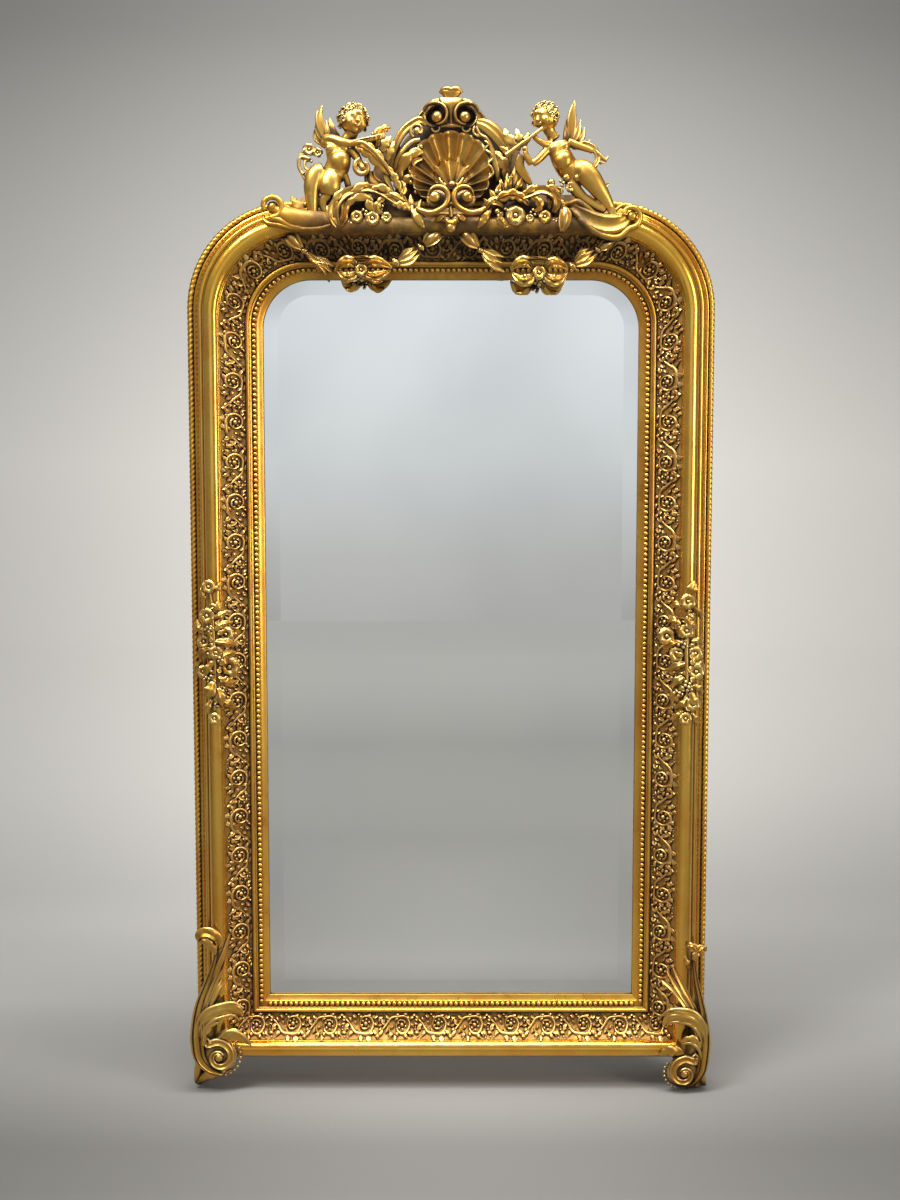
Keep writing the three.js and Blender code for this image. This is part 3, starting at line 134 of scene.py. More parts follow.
@dataclass(frozen=True)
class Band:
    """A carved strand, leaf or limb: a section that follows keys of x, z, h, half width and half depth."""

    keys: Sequence[Key]
    cut: Cut = Cut.ROUND
    lobes: int = 0
    notch: float = 0.4
    side: int = 0  # lobes on both edges, or on the one edge that this sign names
    around: int = 16
    steps: int = 8
    tilt: float = 0.0  # degrees that the section leans over towards its left edge

    def profile(self, c: Array, v: Array) -> Array:
        """Gives the front's height across the band, as a share of its half depth."""
        body = np.sqrt(np.maximum(1 - np.abs(c) ** 3, 0))
        if self.cut is Cut.CHANNEL:
            return body * (1 - 0.62 * np.maximum(0, 1 - (c / 0.66) ** 2))
        if self.cut is Cut.LEAF:
            turns = max(self.lobes, 3)
            valley = 0.5 + 0.5 * np.cos(2 * np.pi * (turns * v - 0.5 * (np.abs(c) - 1)))
            rib = 0.3 * np.exp(-((c / 0.13) ** 2)) - 0.24 * np.exp(-(((np.abs(c) - 0.27) / 0.13) ** 2))
            return body * (0.78 - 0.42 * valley * np.abs(c) ** 0.6 + rib)
        if self.cut is Cut.REED:
            return body * (0.82 + 0.18 * np.cos(6 * np.pi * c))
        return np.sqrt(np.maximum(1 - c**2, 0))

    def rings(self) -> Array:
        """Returns the band's rings as an array of rings by points by x, z, h."""
        count = max((len(self.keys) - 1) * self.steps, 2)
        v = np.linspace(0, 1, count + 1)
        k = smooth_keys(self.keys, v)
        run = np.gradient(k[:, :2], axis=0)
        run /= np.maximum(np.linalg.norm(run, axis=1, keepdims=True), 1e-9)
        a = np.linspace(0, 2 * np.pi, self.around, endpoint=False)[None, :]
        c, s = np.cos(a), np.sin(a)
        v2 = v[:, None]
        edge = np.ones_like(c * v2)
        if self.lobes:
            scallop = 1 - self.notch * (1 - np.abs(np.sin(np.pi * self.lobes * v2)) ** 0.6)
            edge = np.where(self.side * c >= 0, scallop, 1.0)
        close = np.minimum(1, np.minimum(v2, 1 - v2) / (0.35 / count)) ** 0.5
        w = np.maximum(k[:, 3:4], 0.2) * close * edge
        d = np.maximum(k[:, 4:5], 0.2) * close
        across = w * c
        front = d * self.profile(c, v2) * np.sign(np.maximum(s, 0))
        lift = np.where(s > 1e-9, front, 0.7 * d * s)
        lean = math.radians(self.tilt)
        across, lift = across * math.cos(lean) - lift * math.sin(lean), across * math.sin(lean) + lift * math.cos(lean)
        x = k[:, 0:1] - run[:, 1:2] * across
        z = k[:, 1:2] + run[:, 0:1] * across
        return np.stack([x, z, k[:, 2:3] + lift], axis=-1)


@dataclass(frozen=True)
class Ball:
    """A round boss, berry or swelling at x, z, h with its three radii."""

    x: float
    z: float
    h: float
    r: float
    tall: float = 1.0
    deep: float = 1.0
    around: int = 14
    levels: int = 9
    turn: float = 0.0

    def rings(self) -> Array:
        """Returns the ball's rings from its back to its front."""
        rise = np.linspace(-np.pi / 2, np.pi / 2, self.levels + 1)[:, None]
        a = np.linspace(0, 2 * np.pi, self.around, endpoint=False)[None, :]
        x, z = self.r * np.cos(rise) * np.cos(a), self.r * self.tall * np.cos(rise) * np.sin(a)
        c, s = math.cos(math.radians(self.turn)), math.sin(math.radians(self.turn))
        h = self.h + self.r * self.deep * np.sin(rise) + 0 * a
        return np.stack([self.x + c * x - s * z, self.z + s * x + c * z, h], axis=-1)


Form = Band | Ball


class Bench:
    """The operator work that all the pieces share."""

    @staticmethod
    def hold(*pieces: Piece) -> None:
        """Selects these pieces and nothing else, and makes the first one active."""
        bpy.ops.object.select_all(action="DESELECT")
        for piece in pieces:
            piece.select_set(True)
        bpy.context.view_layer.objects.active = pieces[0]

    @staticmethod
    def sheet(points: Array) -> Piece:
        """Rolls a grid into a tube that passes through rings of points.

        Args:
            points: Rings by points by x, y, z, in metres.

        Returns:
            The new object, open at both ends unless they are drawn to a point.
        """
        rings, around = points.shape[:2]
        bpy.ops.object.select_all(action="DESELECT")
        bpy.ops.mesh.primitive_grid_add(x_subdivisions=around, y_subdivisions=rings - 1, size=2)
        piece = bpy.context.active_object
        flat = np.empty(len(piece.data.vertices) * 3)
        piece.data.vertices.foreach_get("co", flat)
        grid = flat.reshape(-1, 3)
        column = np.rint((grid[:, 0] + 1) / 2 * around).astype(int) % around
        row = np.rint((grid[:, 1] + 1) / 2 * (rings - 1)).astype(int)
        piece.data.vertices.foreach_set("co", points[row, column].astype(float).ravel())
        return piece

    @staticmethod
    def weld(name: str, pieces: Sequence[Piece], sharp: float = 50, cap: bool = False) -> Piece:
        """Joins pieces into one, closes their seams and turns their faces outwards.

        Args:
            name: The joined piece's name.
            pieces: What to join.
            sharp: Edges that turn more than these degrees stay crisp.
            cap: Whether open ends are filled.

        Returns:
            The joined piece.
        """
        Bench.hold(*pieces)
        if len(pieces) > 1:
            bpy.ops.object.join()
        piece = bpy.context.active_object
        piece.name = piece.data.name = name
        bpy.ops.object.mode_set(mode="EDIT")
        bpy.ops.mesh.select_all(action="SELECT")
        bpy.ops.mesh.remove_doubles(threshold=WELD_GAP)
        if cap:
            bpy.ops.mesh.select_all(action="SELECT")
            bpy.ops.mesh.fill_holes(sides=0)
        bpy.ops.mesh.select_all(action="SELECT")
        bpy.ops.mesh.normals_make_consistent(inside=False)
        bpy.ops.object.mode_set(mode="OBJECT")
        bpy.ops.object.shade_smooth_by_angle(angle=math.radians(sharp))
        return piece

    @staticmethod
    def modify(piece: Piece, kind: str, **settings: object) -> None:
        """Adds a modifier with these settings and applies it."""
        Bench.hold(piece)
        modifier = piece.modifiers.new(kind.lower(), kind)
        for key, value in settings.items():
            setattr(modifier, key, value)
        bpy.ops.object.modifier_apply(modifier=modifier.name)

    @staticmethod
    def carve(name: str, forms: Iterable[Form], place: Callable[[Array], Array] | None = None) -> Piece:
        """Makes one carved piece of several forms.

        Args:
            name: The piece's name.
            forms: Its bands and balls, in millimetres on the frame.
            place: Moves points of x, z, h before they are set in metres.

        Returns:
            The carved piece.
        """
        made = []
        for form in forms:
            rings = form.rings()
            if place:
                rings = place(rings)
            made.append(Bench.sheet(metres(rings[..., 0], rings[..., 1], rings[..., 2])))
        return Bench.weld(name, made)

    @staticmethod
    def repeat(name: str, unit: Piece, places: Sequence[Callable[[Array], Array]]) -> Piece:
        """Copies a unit's mesh to many places and joins the copies.

        Args:
            name: The new piece's name.
            unit: What is repeated; it is removed afterwards.
            places: For each copy, what turns the unit's points into metres.

        Returns:
            The joined copies.
        """
        base = np.empty(len(unit.data.vertices) * 3)
        unit.data.vertices.foreach_get("co", base)
        base = base.reshape(-1, 3)
        faces = [tuple(face.vertices) for face in unit.data.polygons]
        count = len(base)
        points = np.concatenate([place(base) for place in places])
        copies = [tuple(v + i * count for v in face) for i in range(len(places)) for face in faces]
        mesh = bpy.data.meshes.new(name)
        mesh.from_pydata(points.tolist(), [], copies)
        piece = bpy.data.objects.new(name, mesh)
        bpy.context.scene.collection.objects.link(piece)
        bpy.data.objects.remove(unit)
        Bench.hold(piece)
        bpy.ops.object.mode_set(mode="EDIT")
        bpy.ops.mesh.select_all(action="SELECT")
        bpy.ops.mesh.normals_make_consistent(inside=False)
        bpy.ops.object.mode_set(mode="OBJECT")
        bpy.ops.object.shade_smooth_by_angle(angle=math.radians(60))
        return piece

    @staticmethod
    def finish(piece: Piece, material: Material, slot: str, *nodes: str, body: str = "mirror") -> None:
        """Dresses a piece, lets it ride on a body and hides the nodes that it stands for."""
        piece.data.materials.clear()
        piece.data.materials.append(material)
        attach(piece, body)
        if nodes:
            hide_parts(*nodes)
        LOG.info("%s: %d faces", piece.name, len(piece.data.polygons))


# ---------------------------------------------------------------- the frame's lines
@dataclass(frozen=True)
class FrameLines:
    """The guide lines of the frame: o is the distance outwards from the sight edge, s the way round it."""

    sight_half: float = 372
    sight_bottom: float = 177
    sight_top: float = 1624
    sight_corner: float = 97
    frame_half: float = 520.3
    frame_top: float = 1775.3
    frame_corner: float = 209
    side_width: float = 148.3
    foot_level: float = 58
    middle: float = 56
    turns: int = 28

    def corner(self, turn: Array) -> tuple[Array, Array]:
        """Returns the right corner's inner and outer points at these degrees."""
        a = np.radians(turn)
        way = np.stack([np.cos(a), np.sin(a)], axis=-1)
        inner = np.array([self.sight_half, self.sight_top]) - self.sight_corner + self.sight_corner * way
        outer = np.array([self.frame_half, self.frame_top]) - self.frame_corner + self.frame_corner * way
        return inner, outer

    def arch(self, low: float = 150) -> tuple[Array, Array]:
        """Returns the inner and outer points of the stations up the left side, over the head and down the right.

        Args:
            low: Where the sides start.
        """
        inner, outer = self.corner(np.linspace(0, 90, self.turns + 1))
        spring_in, spring_out = inner[0], outer[0]
        z = np.linspace(low, spring_in[1], 40)[:-1]
        lean = (spring_out[1] - spring_in[1]) * np.clip((z - 1250) / (spring_in[1] - 1250), 0, 1) ** 2
        side_in = np.stack([np.full_like(z, self.sight_half), z], axis=-1)
        side_out = np.stack([np.full_like(z, self.sight_half + self.side_width), z + lean], axis=-1)
        right_in = np.concatenate([side_in, inner])
        right_out = np.concatenate([side_out, outer])
        flip = np.array([-1.0, 1.0])
        return (np.concatenate([right_in * flip, right_in[::-1]]),
            np.concatenate([right_out * flip, right_out[::-1]]))

    def walker(self, low: float = 150) -> tuple[float, Callable[[Array, Array], Array]]:
        """Returns the arch's length along its middle line, and what turns s and o into x and z."""
        inner, outer = self.arch(low)
        line = inner + (outer - inner) * self.middle / self.side_width
        way = np.concatenate([[0], np.cumsum(np.linalg.norm(np.diff(line, axis=0), axis=1))])

        def at(s: Array, o: Array) -> Array:
            """Returns x and z at s along the arch and o outwards."""
            a = np.stack([np.interp(s, way, inner[:, i]) for i in (0, 1)], axis=-1)
            b = np.stack([np.interp(s, way, outer[:, i]) for i in (0, 1)], axis=-1)
            return a + (b - a) * (o / self.side_width)[..., None]

        return float(way[-1]), at

    def stile(self, side: int, o: Array) -> Array:
        """Returns the two stations of a side member: its mitred foot and its spring."""
        foot = np.stack([side * (self.sight_half + o), np.maximum(self.sight_bottom - o, self.foot_level)], axis=-1)
        inner, outer = self.corner(np.array([0.0]))
        top = inner + (outer - inner) * (o / self.side_width)[:, None]
        return np.stack([foot, top * [side, 1]])

    def head(self, o: Array) -> Array:
        """Returns the stations of the head, from its left spring to its right spring."""
        inner, outer = self.corner(np.linspace(0, 90, self.turns + 1))
        right = inner[:, None] + (outer - inner)[:, None] * (o / self.side_width)[None, :, None]
        return np.concatenate([right * [-1, 1], right[::-1]])

    def rail(self, o: Array) -> Array:
        """Returns the two mitred stations of the bottom member."""
        foot = np.stack([self.sight_half + o, self.sight_bottom - o], axis=-1)
        return np.stack([foot * [-1, 1], foot])


LINES = FrameLines()


def arc(o0: float, o1: float, h0: float, h1: float, count: int, rise: float = 1.0) -> list[tuple[float, float]]:
    """Returns points of a half round from o0 to o1 that stands on h0 and rises to h1."""
    t = np.linspace(0, 1, count + 1)
    o = (o0 + o1) / 2 - (o1 - o0) / 2 * np.cos(np.pi * t)
    h = h0 + (h1 - h0) * np.sin(np.pi * t) ** rise
    return list(zip(o.tolist(), h.tolist()))


@dataclass
class Mouldings:
    """The run mouldings: sight slip with beads, hollow frieze, burnished roll, scotia and rope edge."""

    bed: float = 23.3
    slip: tuple[float, float] = (0, 34)
    frieze: tuple[float, float] = (34, 78)
    roll: tuple[float, float] = (78, 112)
    cove_low: float = 42
    cove_high: float = 75
    bead_line: float = 16.2
    bead_size: float = 4.7
    scroll_foot: float = 118
    scroll_pitch: float = 156
    bead_pitch: float = 10.5
    rope_line: float = 141.3
    rope_size: float = 6.9
    rope_pitch: float = 31

    def slip_section(self) -> list[tuple[float, float]]:
        """Returns the sight slip: thin edge, bead channel and astragal."""
        return [(0, self.bed), (0, 28.2), (1.2, 29.3), (6, 30.4), (10, 33), (11, 35.5), (21.4, 35.5), (22, 38.6),
                (23.6, 39.6), *arc(24.2, 32.6, 40, 46.6, 8, 0.8), (33.3, 40.5), (33.9, 39), (33.9, self.bed)]

    def frieze_section(self) -> list[tuple[float, float]]:
        """Returns the hollow that carries the running scroll."""
        o = np.linspace(self.frieze[0] + 0.1, self.frieze[1] - 0.1, 15)
        return [(self.frieze[0] + 0.1, self.bed), *zip(o.tolist(), self.cove(o).tolist()),
            (self.frieze[1] - 0.1, self.bed)]

    def cove(self, o: Array) -> Array:
        """Returns the height of the hollow at o."""
        t = np.clip((o - self.frieze[0]) / (self.frieze[1] - self.frieze[0]), 0, 1)
        return self.cove_low - 1.5 + (self.cove_high - self.cove_low) * (0.3 * t + 0.7 * t**3)

    def roll_section(self, rail: bool) -> list[tuple[float, float]]:
        """Returns the burnished roll with the fillet and scotia outside it, or the plain edge of the rail."""
        crown = [(78.1, self.bed), (78.1, 74.4), (78.6, 76.2), *arc(79.6, 110.6, 77, 92, 20, 0.85), (111.4, 74.5),
            (111.8, 67)]
        if rail:
            return [*crown, (112.6, 61.5), (117.6, 61.2), (118.6, 60), (118.6, self.bed)]
        o = np.linspace(122.6, 133.6, 8)
        scotia = 40.4 + 22 * (1 - np.sin((o - 122.6) / 11 * np.pi / 2))
        return [*crown, (112.2, 64.6), *arc(112.8, 121.6, 64, 68.6, 8, 0.8), (122.2, 63.5),
            *zip(o.tolist(), scotia.tolist()),
                (134, self.bed)]

    def run(self, name: str, section: Sequence[tuple[float, float]], stations: Array) -> Piece:
        """Runs a closed section along stations and caps its ends."""
        h = np.array([point[1] for point in section])
        rings = np.stack([stations[..., 0], stations[..., 1], h + 0 * stations[..., 0]], axis=-1)
        return Bench.weld(name, [Bench.sheet(metres(rings[..., 0], rings[..., 1], rings[..., 2]))], sharp=32,
            cap=True)

    def build(self, leaf: Material, burnished: Material, toned: Material,
              ground: Material) -> None:
        """Builds every moulding.

        Args:
            leaf: The finish of the matt gilding.
            burnished: The finish of the roll.
            toned: The finish of the running scroll.
            ground: The finish of the hollow behind it, darkened by soiling and painted shade.
        """
        for kind, finish, slot in (("slip", leaf, "gilding"), ("frieze", ground, "gilding"),
                                   ("roll_moulding", burnished, "burnished_gilding")):
            for member in ("left", "right", "top", "bottom"):
                rail = member == "bottom"
                section = {"slip": self.slip_section, "frieze": self.frieze_section}.get(
                    kind, lambda: self.roll_section(rail))()
                o = np.array([point[0] for point in section])
                stations = {"left": lambda: LINES.stile(-1, o), "right": lambda: LINES.stile(1, o),
                            "top": lambda: LINES.head(o), "bottom": lambda: LINES.rail(o)}[member]()
                piece = self.run(f"{kind}_{member}_run", section, stations)
                Bench.finish(piece, finish, slot, f"{kind}_{member}")
        self.beads(leaf)
        self.rope(leaf)
        self.running_scroll(toned)

    def spans(self) -> dict[str, tuple[float, float]]:
        """Returns the stretch of the arch that each member covers."""
        length, _ = LINES.walker(self.scroll_foot)
        side = LINES.corner(np.array([0.0]))[0][0][1] - self.scroll_foot + 15
        return {"left": (0, side), "top": (side, length - side), "right": (length - side, length)}

    def beads(self, leaf: Material) -> None:
        """Sets a row of beads round the sight, one piece for each member."""
        length, at = LINES.walker(LINES.sight_bottom - self.bead_line + 6)
        fine = np.linspace(0, length, 4000)
        line = at(fine, np.full_like(fine, self.bead_line))
        way = np.concatenate([[0], np.cumsum(np.linalg.norm(np.diff(line, axis=0), axis=1))])
        rows: dict[str, list[tuple[float, float]]] = {"left": [], "right": [], "top": [], "bottom": []}
        for s in np.linspace(0, way[-1], int(way[-1] / self.bead_pitch) + 1):
            x, z = (float(np.interp(s, way, line[:, i])) for i in (0, 1))
            rows["top" if z > 1527 else "left" if x < 0 else "right"].append((x, z))
        half = LINES.sight_half - 2
        for x in np.linspace(-half, half, int(2 * half / self.bead_pitch) + 1):
            rows["bottom"].append((float(x), LINES.sight_bottom - self.bead_line))
        for member, places in rows.items():
            bpy.ops.object.select_all(action="DESELECT")
            bpy.ops.mesh.primitive_uv_sphere_add(segments=12, ring_count=8, radius=self.bead_size * MM)
            bead = bpy.context.active_object
            spots = [metres(np.array(x), np.array(z), np.array(37.0)) for x, z in places]
            piece = Bench.repeat(f"beads_{member}", bead, [lambda points, spot=spot: points + spot for spot in spots])
            Bench.finish(piece, leaf, "gilding")

    def rope(self, leaf: Material) -> None:
        """Twists the three-strand rope edge up the sides and over the head."""
        length, at = LINES.walker(LINES.foot_level)
        spring = LINES.corner(np.array([0.0]))[1][0][1] - LINES.foot_level
        bounds = {"left": (0.0, spring), "top": (spring, length - spring), "right": (length - spring, length)}
        for member, (start, end) in bounds.items():
            s = np.linspace(start, end, int((end - start) / 1.7))
            line = at(s, np.full_like(s, self.rope_line))
            out = at(s, np.full_like(s, self.rope_line + 1)) - line
            out /= np.linalg.norm(out, axis=1, keepdims=True)
            way = np.concatenate([[0], np.cumsum(np.linalg.norm(np.diff(line, axis=0), axis=1))]) + start
            a = np.linspace(0, 2 * np.pi, 18, endpoint=False)[None, :]
            twist = (2 * np.pi * way / self.rope_pitch)[:, None]
            size = self.rope_size * (0.74 + 0.26 * np.abs(np.cos(1.5 * (a - twist))) ** 0.8)
            across, lift = size * np.cos(a), size * np.sin(a)
            x = line[:, 0:1] + out[:, 0:1] * across
            z = line[:, 1:2] + out[:, 1:2] * across
            tube = Bench.sheet(metres(x, z, self.bed + self.rope_size + 0.1 + lift))
            piece = Bench.weld(f"rope_{member}_strand", [tube], sharp=70, cap=True)
            Bench.finish(piece, leaf, "gilding", f"rope_edge_{member}")

    def scroll_unit(self) -> list[Form]:
        """Returns one repeat of the running scroll, drawn flat: x along the frieze, z across it, h off it."""
        forms: list[Form] = []
        for turn, x0 in ((1, 0.0), (-1, 78.0)):
            def put(x: float, z: float, h: float, w: float, d: float, turn: int = turn, x0: float = x0) -> Key:
                """Returns a key of this half of the repeat, upside down in the second half."""
                return (x0 + x, 22 + turn * (z - 22), h, w, d)

            coil = [(39 + r * math.cos(math.radians(a)), 23 + r * math.sin(math.radians(a)), 1.6, w, 3.2)
                    for a, r, w in ((-120, 18, 2.5), (-60, 17.5, 2.6), (0, 16.5, 2.6), (60, 15.5, 2.4),
                        (120, 14, 2.2),
                                    (180, 12, 2.0), (240, 10, 1.9), (300, 8.5, 1.7), (360, 7, 1.5))]
            forms.append(Band([put(-6, 34, 1, 1.8, 2.4), put(6, 22, 1.4, 2.6, 3), put(16, 10, 1.5, 2.8, 3.2),
                               *[put(*key) for key in coil]], Cut.ROUND, around=8, steps=3))
            forms.append(Ball(x0 + 39, 22 + turn, 2.6, 4.6, around=9, levels=5))
            for a in range(0, 360, 60):
                c, s = math.cos(math.radians(a + 20)), math.sin(math.radians(a + 20))
                forms.append(Band([put(39 + 5 * c, 23 + 5 * s, 2, 1.2, 1.6),
                    put(39 + 8.6 * c, 23 + 8.6 * s, 2.4, 2.3, 2),
                                   put(39 + 11 * c, 23 + 11 * s, 1, 1, 1)], around=6, steps=2))
            leaves = ((4, 24, -4, 8, 7.0), (-2, 30, -12, 40, 6.2), (14, 10, 4, 2.5, 6.2), (24, 5, 36, 1.5, 5.2),
                      (40, 3, 54, 2, 5.4), (55, 14, 66, 6, 6.6), (58, 26, 68, 21, 6.0), (54, 36, 65, 40, 6.4),
                      (42, 41, 52, 43, 5.0), (28, 40, 20, 43, 5.2), (20, 34, 9, 40, 6.4), (20, 22, 13, 30, 5.0),
                      (64, 30, 72, 34, 5.2), (66, 12, 75, 17, 5.6), (24, 17, 32, 8, 5.6), (46, 8, 58, 10, 5.4),
                      (57, 19, 64, 29, 5.6), (50, 34, 58, 42, 5.8), (33, 37, 24, 36, 5.4), (4, 15, -5, 12, 5.8),
                      (8, 27, 3, 37, 6.0), (12, 33, 17, 42, 5.2), (64, 19, 75, 25, 5.4), (66, 37, 77, 37, 5.4),
                      (60, 5, 71, 4, 5.0))
            for xa, za, xb, zb, w in leaves:
                mx, mz = (xa + xb) / 2 + (zb - za) * 0.16, (za + zb) / 2 - (xb - xa) * 0.16
                forms.append(Band([put(xa, za, 1.2, w * 0.35, 2.2), put(mx, mz, 3.0, w * 0.55, 3.4),
                    put(xb, zb, 0.8, 0.6, 1.4)],
                                  Cut.CHANNEL, around=8, steps=3))
            for x, z, r in ((8, 15, 2.0), (11, 19, 1.8), (6, 35, 1.8), (68, 26, 2.0), (71, 22, 1.8), (50, 8, 1.9),
                            (30, 38, 1.8), (2, 2.6, 1.7), (14, 42, 1.7), (73, 41, 1.8), (62, 42, 1.6), (-3, 18, 1.7)):
                forms.append(Ball(x0 + x, 22 + turn * (z - 22), 1.6, r, around=7, levels=4))
        return forms

    def over_cove(self, points: Array, at: Callable[[Array, Array], Array], start: float, stretch: float) -> Array:
        """Lays flat relief on the hollow of the frieze.

        Args:
            points: The unit's points, in metres, as Bench.carve left them.
            at: What turns s and o into x and z.
            start: Where along the frieze this copy starts.
            stretch: How much longer than drawn it is.

        Returns:
            The points in place, in metres.
        """
        s, o, n = points[:, 0] / MM * stretch + start, points[:, 2] / MM + self.frieze[0], WALL - points[:, 1] / MM
        slope = (self.cove(o + 0.5) - self.cove(o - 0.5))
        steep = np.sqrt(1 + slope**2)
        xz = at(s, o - n * slope / steep)
        return metres(xz[:, 0], xz[:, 1], self.cove(o) + n / steep)

    def running_scroll(self, toned: Material) -> None:
        """Lays the running scroll round the frieze, one piece for each member."""
        _, at = LINES.walker(self.scroll_foot)
        half = LINES.sight_half + 42

        def rail(s: Array, o: Array) -> Array:
            """Returns x and z on the bottom member."""
            return np.stack([s - half, LINES.sight_bottom - o], axis=-1)

        stretches = {**{name: (at, *span) for name, span in self.spans().items()},
            "bottom": (rail, -20.0, 2 * half + 42)}
        for member, (walk, start, end) in stretches.items():
            count = max(1, round((end - start) / self.scroll_pitch))
            pitch = (end - start) / count
            unit = Bench.carve("scroll_unit", self.scroll_unit())
            places = [lambda points, i=i, walk=walk, start=start, pitch=pitch: self.over_cove(
                points, walk, start + i * pitch, pitch / self.scroll_pitch) for i in range(count)]
            piece = Bench.repeat(f"running_scroll_{member}", unit, places)
            Bench.finish(piece, toned, "gilding")


# ---------------------------------------------------------------- carving
def spread(values: Row, count: int) -> Array:
    """Returns a value, or a short row of values, spread evenly over a number of keys."""
    row = np.atleast_1d(np.array(values, float))
    return np.interp(np.linspace(0, 1, count), np.linspace(0, 1, len(row)), row)


def line(spots: Sequence[float], h: Row, w: Row, d: Row,
         cut: Cut = Cut.ROUND, **more: object) -> Band:
    """Returns a band through spots.

    Args:
        spots: x and z of each key, one after the other.
        h: Its height in front of the wall, as a value or a row that is spread over the keys.
        w: Its half width, likewise.
        d: Its half depth, likewise.
        cut: How its front is cut.
        more: Further fields of the band.
    """
    flat = np.array(spots, float).reshape(-1, 2)
    n = len(flat)
    keys = np.column_stack([flat, spread(h, n), spread(w, n), spread(d, n)])
    return Band(keys.tolist(), cut, **more)


def coil(x: float, z: float, turn: tuple[float, float], r: tuple[float, float], h: tuple[float, float],
         w: tuple[float, float], d: tuple[float, float], cut: Cut = Cut.ROUND, lead: Sequence[float] = (),
         **more: object) -> Band:
    """Returns a volute about x and z, with spots that lead into it."""
    count = max(6, int(abs(turn[1] - turn[0]) / 32))
    t = np.linspace(0, 1, count)
    a = np.radians(turn[0] + (turn[1] - turn[0]) * t)
    radius = r[0] * (r[1] / r[0]) ** t
    spots = [*lead]
    for angle, size in zip(a, radius):
        spots += [x + size * math.cos(angle), z + size * math.sin(angle)]
    return line(spots, h, w, d, cut, steps=more.pop("steps", 4), **more)


def eye(x: float, z: float, h: float, r: float) -> Ball:
    """Returns the round boss at the heart of a volute."""
    return Ball(x, z, h, r, around=18, levels=10)


def leafy(spots: Sequence[float], h: Row, w: float, d: float = 5, lobes: int = 3, notch: float = 0.45,
          around: int = 18, **more: object) -> Band:
    """Returns a lobed leaf that swells and comes to a point."""
    return line(spots, h, (w * 0.35, w * 0.9, w, w * 0.8, w * 0.12), (d * 0.6, d, d, d * 0.7, d * 0.3), Cut.LEAF,
                lobes=lobes, notch=notch, around=around, **more)


def blade(spots: Sequence[float], h: Row, w: float, d: float = 4, **more: object) -> Band:
    """Returns a plain pointed leaf with a hollow along it."""
    return line(spots, h, (w * 0.4, w, w * 0.85, w * 0.1), (d * 0.6, d, d * 0.8, d * 0.3), Cut.CHANNEL, **more)


def bloom(x: float, z: float, h: float, r: float, petals: int = 6, turn: float = 0) -> list[Form]:
    """Returns a flower: petals about a boss with seeds."""
    forms: list[Form] = [Ball(x, z, h + r * 0.04, r * 0.25, around=10, levels=6)]
    for i in range(petals):
        a = math.radians(turn + 360 * i / petals)
        c, s = math.cos(a), math.sin(a)
        forms.append(line((x + 0.2 * r * c, z + 0.2 * r * s, x + 0.62 * r * c, z + 0.62 * r * s, x + r * c,
            z + r * s),
                          (h, h + r * 0.16, h - r * 0.1), (r * 0.16, r * 0.46, r * 0.26),
                          (r * 0.16, r * 0.26, r * 0.14),
                          Cut.CHANNEL, around=10, steps=4))
    return forms


def berries(x: float, z: float, h: float, r: float, count: int, reach: float) -> list[Form]:
    """Returns a heap of berries about a place."""
    forms: list[Form] = []
    for i in range(count):
        a, far = 2.4 * i, reach * math.sqrt((i + 0.5) / count)
        forms.append(Ball(x + far * math.cos(a), z + far * math.sin(a),
            h + 1.5 * math.cos(3 * a) + r * (1 - far / reach) * 0.5,
                          r, around=10, levels=6))
    return forms


def knot(x: float, z: float, h: float, r: float) -> list[Form]:
    """Returns a tied knot: a flattened ball between two rings."""
    return [Ball(x, z, h, r, 0.8, 0.8), Ball(x - r * 0.55, z + r * 0.55, h - 1, r * 0.55),
        Ball(x + r * 0.5, z - r * 0.55, h - 1, r * 0.5)]


def husk(spots: Sequence[float], h: Row, w: float, d: float = 5) -> list[Form]:
    """Returns a bud in its husk: a round heart with a leaf along each side."""
    flat = np.array(spots, float).reshape(-1, 2)
    run = flat[-1] - flat[0]
    side = np.array([-run[1], run[0]]) / np.linalg.norm(run) * w * 0.62
    forms: list[Form] = [line(spots, h, (w * 0.3, w * 0.62, w * 0.5, w * 0.12), (d * 0.5, d, d * 0.9, d * 0.3),
        around=12, steps=5)]
    for way in (-1, 1):
        bent = flat + way * side * np.sin(np.linspace(0.1, 0.9, len(flat)) * np.pi)[:, None]
        forms.append(line(bent.ravel().tolist(), h, (w * 0.2, w * 0.42, w * 0.36, w * 0.06),
            (d * 0.4, d * 0.7, d * 0.6, d * 0.2),
                          Cut.CHANNEL, around=10, steps=5))
    return forms


